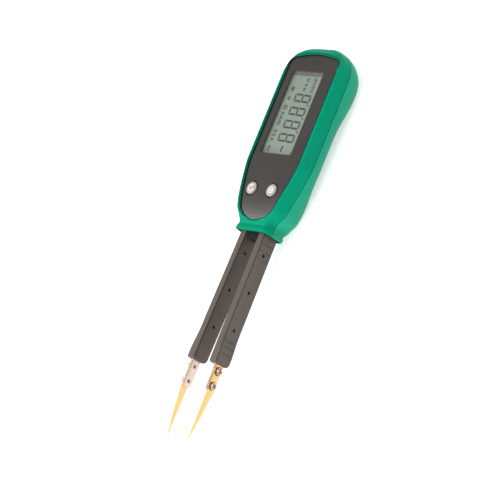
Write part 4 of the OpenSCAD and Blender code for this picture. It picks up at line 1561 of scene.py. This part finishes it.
@dataclass
class Button:
    """A domed round button with a printed symbol; its side wall has a darker finish as painted
    shade.
    """

    side: Side
    radius: float = 2.95
    edge: float = 0.5
    top: float = 19.97
    dome: float = 0.14
    cap_shade_normal: float = 0.8
    print_up: float = 0.02
    print_down: float = 0.05
    ring_r: float = 1.45
    ring_thick: float = 0.42
    ring_turns: Spot = (50, 348)
    bar: tuple[Spot, Spot] = ((0.0, 0.2), (0.0, 1.9))
    box: Spot = (1.0, 1.15)
    box_bar: float = 0.95
    box_thick: float = 0.46
    side_z: Spot = (18.6, 17.3)
    flange: tuple[Spot, ...] = ((3.7, 17.3), (3.7, 16.7), (1.5, 16.7), (1.5, 14.5), (0.0, 14.5))

    def surface(self, r: float) -> float:
        """Height of the button's top at a distance from its middle."""
        fall = self.edge * round_fall((r - self.radius + self.edge) / self.edge)
        return self.top - self.dome * (r / self.radius) ** 2 - fall

    def ribbon(self, solid: Solid, pairs: Iterable[tuple[Vector, Vector]]) -> None:
        """Adds a printed stroke that follows the dome.

        Args:
            solid: solid that gets the stroke.
            pairs: the stroke's left and right edge, station by station.
        """
        up, down = self.print_up, -self.print_down
        solid.loft([[(p.x, p.y, self.surface(p.length) + lift)
                     for p, lift in ((a, up), (b, up), (b, down), (a, down))]
                    for a, b in pairs])

    def stroke(self, solid: Solid, a: Spot, b: Spot, width: float) -> None:
        """Adds a straight stroke.

        Args:
            solid: solid that gets the stroke.
            a: its start.
            b: its end.
            width: its width.
        """
        along = Vector(b) - Vector(a)
        normal = Vector((-along.y, along.x)).normalized() * width / 2
        middles = [Vector(a) + along * (i / 4) for i in range(5)]
        self.ribbon(solid, [(p + normal, p - normal) for p in middles])

    def arc(self, solid: Solid, radius: float, width: float, start: float, end: float) -> None:
        """Adds a stroke along an arc.

        Args:
            solid: solid that gets the stroke.
            radius: radius of its middle line.
            width: its width.
            start: angle of its start in degrees.
            end: angle of its end in degrees.
        """
        turns = [math.radians(mix(start, end, i / 24)) for i in range(25)]
        outs = [Vector((math.cos(t), math.sin(t))) for t in turns]
        self.ribbon(solid, [(out * (radius + width / 2), out * (radius - width / 2))
                            for out in outs])

    def symbol(self) -> Solid:
        """Prints the button's symbol: a ring with a bar on the left one, a box on the right.

        Returns:
            The symbol, round the button's own middle.
        """
        marks = Solid()
        if self.side is Side.LEFT:
            self.arc(marks, self.ring_r, self.ring_thick, *self.ring_turns)
            self.stroke(marks, *self.bar, self.ring_thick)
            return marks
        u, v = self.box
        for a, b in (((-u, -v), (u, -v)), ((u, -v), (u, v)), ((u, v), (-u, v)),
                     ((-u, v), (-u, -v)), ((-self.box_bar, 0.0), (self.box_bar, 0.0))):
            self.stroke(marks, a, b, self.box_thick)
        return marks

    def build(self) -> list[bpy.types.Object]:
        """Builds the button and its symbol.

        Returns:
            The pieces.
        """
        label = self.side.label
        place = Matrix.Translation((BUTTON_X[self.side is Side.RIGHT], BUTTON_Y, 0))
        flat = self.radius - self.edge
        spots = spread(0.6, flat - 0.2, 5) + [flat + self.edge * (1 - s) for _, s in quarter(8)]
        profile = [(r, self.surface(r)) for r in (0.0, *spots)]
        profile += [*((self.radius, z) for z in self.side_z), *self.flange]
        cap = Solid().revolve(profile, place).object(f"{label}_button_cap")
        dress(cap, f"{label}_button", BUTTON, [f"{label}_button"])
        # painted shade: faces that turn away from the top, round the dome's edge and down the side,
        # get the darker finish
        two_tone(cap, BUTTON_SIDE_SHADE, lambda face: face.normal.z < self.cap_shade_normal)
        symbol = self.symbol().move(place).object(f"{label}_button_symbol")
        return [cap, dress(symbol, f"{label}_button", WHITE_INK)]


# ---------------------------------------------------------------- arms


@dataclass(frozen=True)
class ArmForm:
    """Sizes of an arm in its own frame: hinge line at the origin, the arm along -Y, outside +X.

    s is the distance from the hinge line towards the tip.
    """

    hinge: Spot = (5.45, 4.2)
    splay: float = 0.95
    reach: float = 60.5
    root: float = 0.4
    thick: float = 3.2
    tall: float = 8.8
    middle: float = 11.3
    swell: float = 0.7
    swell_from: float = 46.5
    swell_to: float = 57.0
    inner_in: float = 0.1
    rear_up: float = 0.12
    rear_round: float = 2.4
    front_round: float = 1.2
    block_x: float = 1.2
    block_t: float = 1.3
    block_w: float = 4.5
    block_l: float = 11.5
    block_held: float = 10.0
    blade_l: float = 34.2
    blade_t: float = 0.5
    blade_w: float = 4.0
    lean: float = 2.2

    def place(self, side: Side) -> Matrix:
        """Matrix from the arm's frame to the model's."""
        here = Matrix.Translation((*self.hinge, 0)) @ Matrix.Rotation(
            math.radians(self.splay), 4, "Z")
        return here if side is Side.RIGHT else Matrix.Scale(-1, 4, (1, 0, 0)) @ here

    def across(self, s: float, x: float = 0.0) -> Matrix:
        """Matrix of a place on the arm's middle line, with its Z axis across the arm."""
        return Matrix.Translation((x, -s, self.middle)) @ Matrix.Rotation(math.pi / 2, 4, "Y")

    def outer(self, s: float) -> float:
        """Outer face at a distance s from the hinge line."""
        return self.thick / 2 + self.swell * rise(s, self.swell_from, self.swell_to)


@dataclass
class ArmCover:
    """A moulded arm: shallow grooves and pin holes in its faces, a rounded lower end."""

    form: ArmForm
    side: Side
    edge: float = 0.3
    groove_half: float = 0.6
    groove_depth: float = 0.32
    groove_fade: Spot = (3.0, 3.7)
    grooves: tuple[float, ...] = (5, 8.2, 12, 49.6, 52.4, 55.2)
    pins: tuple[float, ...] = (10, 27.2, 44.5)
    pin_r: float = 0.78
    pin_cuts: tuple[Spot, Spot] = ((-3, -0.5), (0.5, 4))
    line_in: float = 0.62
    line_half: float = 0.14
    line_depth: float = 0.16
    line_gap: float = 0.25
    pocket: Spot = (-0.3, 1.25)
    pocket_half: float = 2.3

    def groove(self, s: float, z: float) -> float:
        """How far the outer face is sunk by its grooves.

        Args:
            s: distance from the hinge line.
            z: height.

        Returns:
            The depth.
        """
        share = 1 - rise(abs(z - self.form.middle), *self.groove_fade)
        gaps = [min(abs(s - at) / self.groove_half, 1) for at in self.grooves]
        return share * self.groove_depth * max(0.5 + 0.5 * math.cos(math.pi * g) for g in gaps)

    def limits(self, s: float) -> Spot:
        """Lowest and highest z of the arm at s."""
        f = self.form
        rear, front = ((s - f.reach + r) / r for r in (f.rear_round, f.front_round))
        return (f.middle - f.tall / 2 + f.rear_up + f.rear_round * round_fall(rear),
                f.middle + f.tall / 2 - f.front_round * round_fall(front))

    def row(self, s: float, inset: float = 0.0) -> Row:
        """One closed section.

        Args:
            s: distance from the hinge line.
            inset: how far inside the arm's surface.

        Returns:
            The loop, with the parting line's notch in both faces.
        """
        f, e = self.form, self.edge
        low, high = self.limits(s)
        low, high = low + inset, high - inset
        left, right = f.inner_in - f.thick / 2 + inset, f.outer(s) - inset
        line, half, depth = high - self.line_in, self.line_half, self.line_depth
        loop = round_rectangle(right - left, high - low, e,
                               ((left + right) / 2, (low + high) / 2), 4)
        loop[10:10] = [(left, line + half), (left + depth, line), (left, line - half)]
        loop += [(right, z) for z in spread(low + e, line - self.line_gap, 24)[1:]]
        loop = [(x - (self.groove(s, z) if x > right - LEAST else 0), z) for x, z in loop]
        loop += [(right, line - half), (right - depth, line), (right, line + half)]
        return [(x, -s, z) for x, z in loop]

    def stations(self) -> list[float]:
        """Distances for the rows: even, with more in the grooves and in the rounded end.

        Returns:
            The distances in rising order.
        """
        f, end = self.form, self.form.reach - self.form.rear_round
        spots = set(spread(self.edge - f.root, end, 60))
        for at in self.grooves:
            spots |= {at + self.groove_half * i / 7 for i in range(-8, 9)}
        spots |= {end + f.rear_round * math.sin(math.pi / 2 * i / 16) for i in range(15)}
        return sorted(s for s in spots if s <= f.reach - self.edge)

    def build(self) -> bpy.types.Object:
        """Builds the arm and drills its pin holes and the pocket for the contact block.

        Returns:
            The piece.
        """
        f, label, edge = self.form, self.side.label, self.edge
        rows = [self.row(-f.root, edge), self.row(0.3 * edge - f.root, 0.3 * edge)]
        rows += [self.row(s) for s in self.stations()]
        rows += [self.row(f.reach - edge * s, edge * c) for c, s in quarter(3, 1)]
        arm = Solid().loft(rows).move(f.place(self.side)).object(f"{label}_arm_moulding")
        tool = Solid()
        for s in self.pins:
            for cut in self.pin_cuts:
                tool.prism(circle(self.pin_r, steps=24), *cut, f.across(s))
        near, far = f.block_held - f.reach, -f.reach - 2
        left, right = self.pocket
        tool.prism([(left, near), (left, far), (right, far), (right, near)],
                   f.middle - self.pocket_half, f.middle + self.pocket_half)
        carve(arm, tool.move(f.place(self.side)))
        dress(arm, f"{label}_arm", ARM, [f"{label}_arm_cover"])
        line = f.middle + f.tall / 2 - self.line_in
        # partly painted shade: the faces in the parting line's groove get the darker finish for the
        # shade in it
        two_tone(arm, ARM_LINE_SHADE, lambda face: abs(face.normal.y) < 0.5
                 and abs(face.center.z / MM - line) < self.line_half)
        return arm


@dataclass
class Contact:
    """The metal end of an arm: a block with a finely notched edge, a blade and two screws, whose
    head sides get a painted shade.
    """

    form: ArmForm
    side: Side
    pitch: float = 0.95
    notch: float = 0.35
    tang_t: float = 0.9
    corner: float = 0.1
    end_in: float = 0.12
    bare_from: float = 0.5
    holes: tuple[float, float] = (63.1, 69.7)
    hole_r: float = 0.8
    hole_cut: Spot = (-2, 3)
    notch_normals: Spot = (0.35, 0.95)
    early_lean: float = 0.84
    knee: float = 0.45
    knee_w: float = 0.66
    tip_w: float = 0.0875
    tip_t: float = 0.75
    blade_round: float = 0.08
    head_r: float = 1.95
    head_t: float = 0.95
    head_round: float = 0.5
    shank_r: float = 0.75
    shank_l: float = 0.65
    slot: Spot = (2.3, 0.42)
    slot_round: float = 0.12
    slot_depth: float = 0.45
    slot_turns: Spot = (20, 45)
    head_shade_normal: float = 0.72

    def block(self) -> bpy.types.Object:
        """Builds the contact block.

        Returns:
            The piece.
        """
        f, label = self.form, self.side.label
        bare, end = f.reach - self.bare_from, f.reach + f.block_l
        teeth = int((end - bare) / self.pitch)
        rows = []
        for i, s in enumerate([f.reach - f.block_held, *spread(bare, end, teeth * 4 + 1)]):
            held, inset = s < bare + MERGE, self.end_in if s > end - MERGE else 0.0
            left = f.block_x - (self.tang_t if held else f.block_t)
            rows.append(self.section(left + inset, f.block_x - inset, s, inset,
                                     0.0 if held else self.notch * (i % 4 == 2)))
        piece = Solid().loft(rows).move(f.place(self.side)).object(f"{label}_notched_block")
        tool = Solid()
        for s in self.holes:
            tool.prism(circle(self.hole_r, steps=24), *self.hole_cut, f.across(s))
        carve(piece, tool.move(f.place(self.side)))
        dress(piece, f"{label}_arm", ALLOY, [f"{label}_contact_block"])
        rim = (f.middle + f.block_w / 2 - self.notch - 0.05) * MM
        least, most = self.notch_normals
        two_tone(piece, NOTCH,
                 lambda face: face.center.z > rim and least < abs(face.normal.y) < most)
        return piece

    def section(self, left: float, right: float, s: float, inset: float, notch: float) -> Row:
        """One closed section of the block.

        Args:
            left: its inner face.
            right: its outer face.
            s: distance from the hinge line.
            inset: how far its edges are drawn in.
            notch: depth of the notch in its upper edge.

        Returns:
            The loop.
        """
        f = self.form
        low = f.middle - f.block_w / 2 + inset + notch * 0.5
        high = f.middle + f.block_w / 2 - inset - notch
        middle = ((left + right) / 2, (low + high) / 2)
        return [(x, -s, z)
                for x, z in round_rectangle(right - left, high - low, self.corner, middle, 2)]

    def blade_row(self, s: float, t: float, inset: float) -> Row:
        """One closed section of the blade.

        Args:
            s: distance from the hinge line.
            t: share of the way from the block's end to the tip.
            inset: how far its edges are drawn in.

        Returns:
            The loop.
        """
        f, late = self.form, 1 - self.early_lean
        lean = f.lean * (self.early_lean * t + late * max(0, 2 * t - 1) ** 1.3)
        share = (mix(1, self.knee_w, t / self.knee) if t < self.knee
                 else mix(self.knee_w, self.tip_w, (t - self.knee) / (1 - self.knee)))
        thick = f.blade_t * mix(1, self.tip_t, t)
        middle = (f.block_x + 0.01 - lean + thick / 2, f.middle)
        outline = round_rectangle(thick, f.blade_w * share - 2 * inset,
                                  self.blade_round * mix(1, 0.6, t), middle, 3)
        return [(x, -s, z) for x, z in outline]

    def blade(self) -> bpy.types.Object:
        """Builds the gold blade.

        Returns:
            The piece.
        """
        f, label = self.form, self.side.label
        bend, tip = f.reach + f.block_l, f.reach + f.blade_l
        flat = [f.reach + 0.05, f.reach + 0.12] + spread(f.reach + 0.6, bend, 12)
        rows = [self.blade_row(s, clamp((s - bend) / (tip - bend)), 0.1 if s == flat[0] else 0.0)
                for s in flat + spread(bend + 0.4, tip, 40)]
        piece = Solid().loft(rows).move(f.place(self.side)).object(f"{label}_gold_blade")
        return dress(piece, f"{label}_arm", GOLD, [f"{label}_blade"])

    def screws(self) -> bpy.types.Object:
        """Builds the blade's two pan-head screws.

        Returns:
            The piece.
        """
        f, label, solid, slots = self.form, self.side.label, Solid(), Solid()
        r, t, bow = self.head_r, self.head_t, self.head_round
        profile = [(0.0, t), (0.7, t - 0.01), (1.2, t - 0.05)]
        profile += [(r - bow * c, t - 0.1 - bow * s) for c, s in reversed(quarter(5))]
        profile += [(r, 0.05), (r - 0.05, 0.02), (self.shank_r, 0.02),
                    (self.shank_r, -self.shank_l), (0.0, -self.shank_l)]
        for s, turn in zip(self.holes, self.slot_turns):
            place = f.across(s, f.block_x + f.blade_t)
            solid.revolve(profile, place, 40)
            cross(place, turn, self.slot, self.slot_round, t - self.slot_depth, t + 1, slots)
        piece = solid.move(f.place(self.side)).object(f"{label}_screws")
        carve(piece, slots.move(f.place(self.side)), crossing=True)
        dress(piece, f"{label}_arm", NICKEL, [f"{label}_blade_screws"])
        # painted shade: the heads' sides, the faces that do not face along the axis, get the darker
        # finish
        two_tone(piece, SCREW_SIDE_SHADE, lambda face: abs(face.normal.x) < self.head_shade_normal)
        return piece

    def build(self) -> list[bpy.types.Object]:
        """Builds block, blade and screws."""
        return [self.block(), self.blade(), self.screws()]


@dataclass
class SpringStrip:
    """A leaf spring: flat between the carrier's jaws and the arm, straight across the hinge line.
    """

    form: ArmForm
    side: Side
    held: float = 8.0
    short: float = 1.0
    thick: float = 0.5
    wide: float = 5.0
    corner: float = 0.1
    bend: float = 1.0

    def row(self, s: float) -> Row:
        """One closed section at s."""
        outline = round_rectangle(self.thick, self.wide, self.corner, (0, self.form.middle), 3)
        return [(x, -s, z) for x, z in outline]

    def build(self) -> bpy.types.Object:
        """Builds the straight strip between the housing and its arm.

        Returns:
            The piece.
        """
        f, label = self.form, self.side.label
        marks = (spread(-self.held, -2, 5) + spread(-1.6, 1.6, 17)
                 + spread(2, f.reach - self.short, 9))
        strip = Solid().loft([self.row(s) for s in marks]).move(f.place(self.side))
        piece = strip.object(f"{label}_leaf_spring")
        paint(piece, SPRING)
        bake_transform(piece)
        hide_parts(f"{label}_spring_strip")
        return piece


# ---------------------------------------------------------------- housing screws


@dataclass
class Fasteners:
    """The housing's screws, seen in their holes in the back, their heads down.

    case_head is a (radius, height) profile whose heights count from the hole's ground.
    """

    case_head: tuple[Spot, ...] = ((0, -1.2), (1.2, -1.17), (1.7, -1.0), (1.9, -0.6), (1.9, 0),
                                   (1.0, 0))
    case_top: float = 15.2
    case_slot: Spot = (2.2, 0.42)
    cover: tuple[Spot, ...] = ((0, 3.2), (1.0, 3.22), (1.4, 3.35), (1.55, 3.6), (1.55, 3.95),
                               (0.8, 3.95), (0.8, 9.6), (0, 9.6))
    cover_slot: Spot = (1.8, 0.4)
    slot_round: float = 0.1
    turns: Spot = (15, 30)

    def build(self) -> list[bpy.types.Object]:
        """Builds three case screws and the cover's screw.

        Returns:
            The pieces.
        """
        case, slots = Solid(), Solid()
        for x, y, z in CASE_SCREWS:
            place = Matrix.Translation((x, y, 0))
            profile = [(r, z + up) for r, up in self.case_head]
            case.revolve(profile + [(1.0, self.case_top), (0, self.case_top)], place, 32)
            cross(place, self.turns[0], self.case_slot, self.slot_round, z - 2, z - 0.75, slots)
        piece = case.object("case_screws")
        carve(piece, slots, crossing=True)
        dress(piece, "housing", STEEL, ["housing_screws"])
        place, tool = Matrix.Translation((0, COVER_SCREW_Y, 0)), Solid()
        cover = Solid().revolve(self.cover, place, 32).object("cover_screw")
        cross(place, self.turns[1], self.cover_slot, self.slot_round, 2, 3.7, tool)
        carve(cover, tool, crossing=True)
        dress(cover, "housing", STEEL, ["battery_cover_screw"])
        return [piece, cover]


# ---------------------------------------------------------------- whole scene

KEPT: dict[str, Finish] = {
    "display_lens": WINDOW, "display_holder": HOLDER, "contact_strips": RUBBER,
    "main_board": BOARD, "board_chips": CHIP, "button_switches": STEEL, "coin_cell": CELL,
    "cell_holder": BLACK, "cell_contact": SPRING, "cell_clip": SPRING, "arm_carrier": CARRIER,
    "strip_rivets": STEEL, "signal_wires": WIRE,
}


@dataclass(frozen=True)
class Lamp:
    """One soft square lamp: place, aim and side length in metres, and power in watts."""

    name: str
    at: Point
    size: float
    power: float
    aim: Point = (0, 0, 0)


LAMPS = (
    Lamp("front", (0.55, -1.0, 0.8), 0.9, 6.5),
    Lamp("over", (0.5, 0.2, 1.2), 0.9, 4.0),
    Lamp("head", (0.2, 1.2, 0.5), 0.7, 3.5, (0, 0.04, 0)),
    Lamp("foot", (0.1, -1.3, 0.4), 0.6, 10.0),
    Lamp("gloss", (-0.9, -0.16, 0.8), 0.3, 6.5),
)


@dataclass
class Studio:
    """Camera, lamps and a pale floor, with places in metres."""

    location: Point = (0.79346, -0.24475, 0.73687)
    right: Point = (0.68487, 0.36854, -0.62859)
    up: Point = (-0.10516, 0.90363, 0.41521)
    back: Point = (0.72104, -0.21826, 0.65762)
    lens: float = 187.3
    daylight: float = 0.42
    floor_size: float = 6.0
    floor_drop: float = 0.0002
    floor_grey: float = 0.9
    floor_rough: float = 0.9
    floor_lift: float = 0.5

    def link(self, name: str, data: bpy.types.ID) -> bpy.types.Object:
        """Makes an object for camera, lamp or mesh data and links it."""
        made = bpy.data.objects.new(name, data)
        bpy.context.scene.collection.objects.link(made)
        return made

    def camera(self) -> None:
        """Creates the camera."""
        data = bpy.data.cameras.new("camera")
        data.lens = self.lens
        camera = self.link("camera", data)
        columns = Matrix((self.right, self.up, self.back)).transposed().to_4x4()
        camera.matrix_world = Matrix.Translation(self.location) @ columns
        bpy.context.scene.camera = camera

    def lamp(self, spec: Lamp) -> None:
        """Adds one lamp.

        Args:
            spec: the lamp's sizes.
        """
        data = bpy.data.lights.new(spec.name, "AREA")
        data.size = spec.size
        data.energy = spec.power
        lamp = self.link(spec.name, data)
        lamp.location = spec.at
        aim = Vector(spec.aim) - Vector(spec.at)
        lamp.rotation_euler = aim.to_track_quat("-Z", "Y").to_euler()

    def floor_material(self) -> bpy.types.Material:
        """Makes the floor's material, which rays from the camera, gloss and glass see lighter.

        Returns:
            The material.
        """
        material = bpy.data.materials.new("pale_floor")
        material.use_nodes = True
        tree = material.node_tree
        shader = tree.nodes["Principled BSDF"]
        shader.inputs["Base Color"].default_value = (*[self.floor_grey] * 3, 1)
        shader.inputs["Roughness"].default_value = self.floor_rough
        shader.inputs["Specular IOR Level"].default_value = 0.0
        shader.inputs["Emission Color"].default_value = (1, 1, 1, 1)
        path = tree.nodes.new("ShaderNodeLightPath")
        lift = tree.nodes.new("ShaderNodeMath")
        lift.operation = "MULTIPLY"
        lift.inputs[1].default_value = self.floor_lift
        seen = path.outputs["Is Camera Ray"]
        for ray in ("Is Glossy Ray", "Is Transmission Ray"):
            either = tree.nodes.new("ShaderNodeMath")
            either.operation = "MAXIMUM"
            tree.links.new(seen, either.inputs[0])
            tree.links.new(path.outputs[ray], either.inputs[1])
            seen = either.outputs["Value"]
        tree.links.new(seen, lift.inputs[0])
        tree.links.new(lift.outputs["Value"], shader.inputs["Emission Strength"])
        return material

    def floor(self) -> None:
        """Adds the pale floor just under the object."""
        bm = bmesh.new()
        bmesh.ops.create_grid(bm, x_segments=1, y_segments=1, size=self.floor_size)
        bmesh.ops.translate(bm, verts=bm.verts, vec=(0, 0, -self.floor_drop))
        mesh = bpy.data.meshes.new("floor")
        bm.to_mesh(mesh)
        bm.free()
        mesh.materials.append(self.floor_material())
        floor = self.link("floor", mesh)
        floor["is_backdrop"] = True

    def build(self) -> None:
        """Sets up camera, floor, lamps and the world's light."""
        self.camera()
        self.floor()
        for spec in LAMPS:
            self.lamp(spec)
        world = bpy.data.worlds.new("studio")
        world.use_nodes = True
        background = world.node_tree.nodes["Background"]
        background.inputs["Color"].default_value = (1, 1, 1, 1)
        background.inputs["Strength"].default_value = self.daylight
        bpy.context.scene.world = world
        bpy.context.scene.view_settings.view_transform = "Standard"


def main() -> None:
    """Builds every piece, finishes the kept CAD nodes, sets the stage and reports each piece."""
    logging.basicConfig(level=logging.INFO)
    housing, plate, arm = HousingForm(), PlateForm(), ArmForm()
    makers = [FrontShell(housing, plate), RearShell(housing), BatteryCover(housing),
              Plate(housing, plate), GapShadowBand(housing, plate), Display()]
    for side in Side:
        makers += [Button(side), ArmCover(arm, side), Contact(arm, side), SpringStrip(arm, side)]
    for maker in (*makers, Fasteners()):
        maker.build()
    for node, finish in KEPT.items():
        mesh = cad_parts[node].data
        mesh.materials.clear()
        mesh.materials.append(finish.build())
    Studio().build()
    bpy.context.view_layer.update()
    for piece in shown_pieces():
        LOG.info("piece: %s", piece.name)


if __name__ == "__main__":
    main()
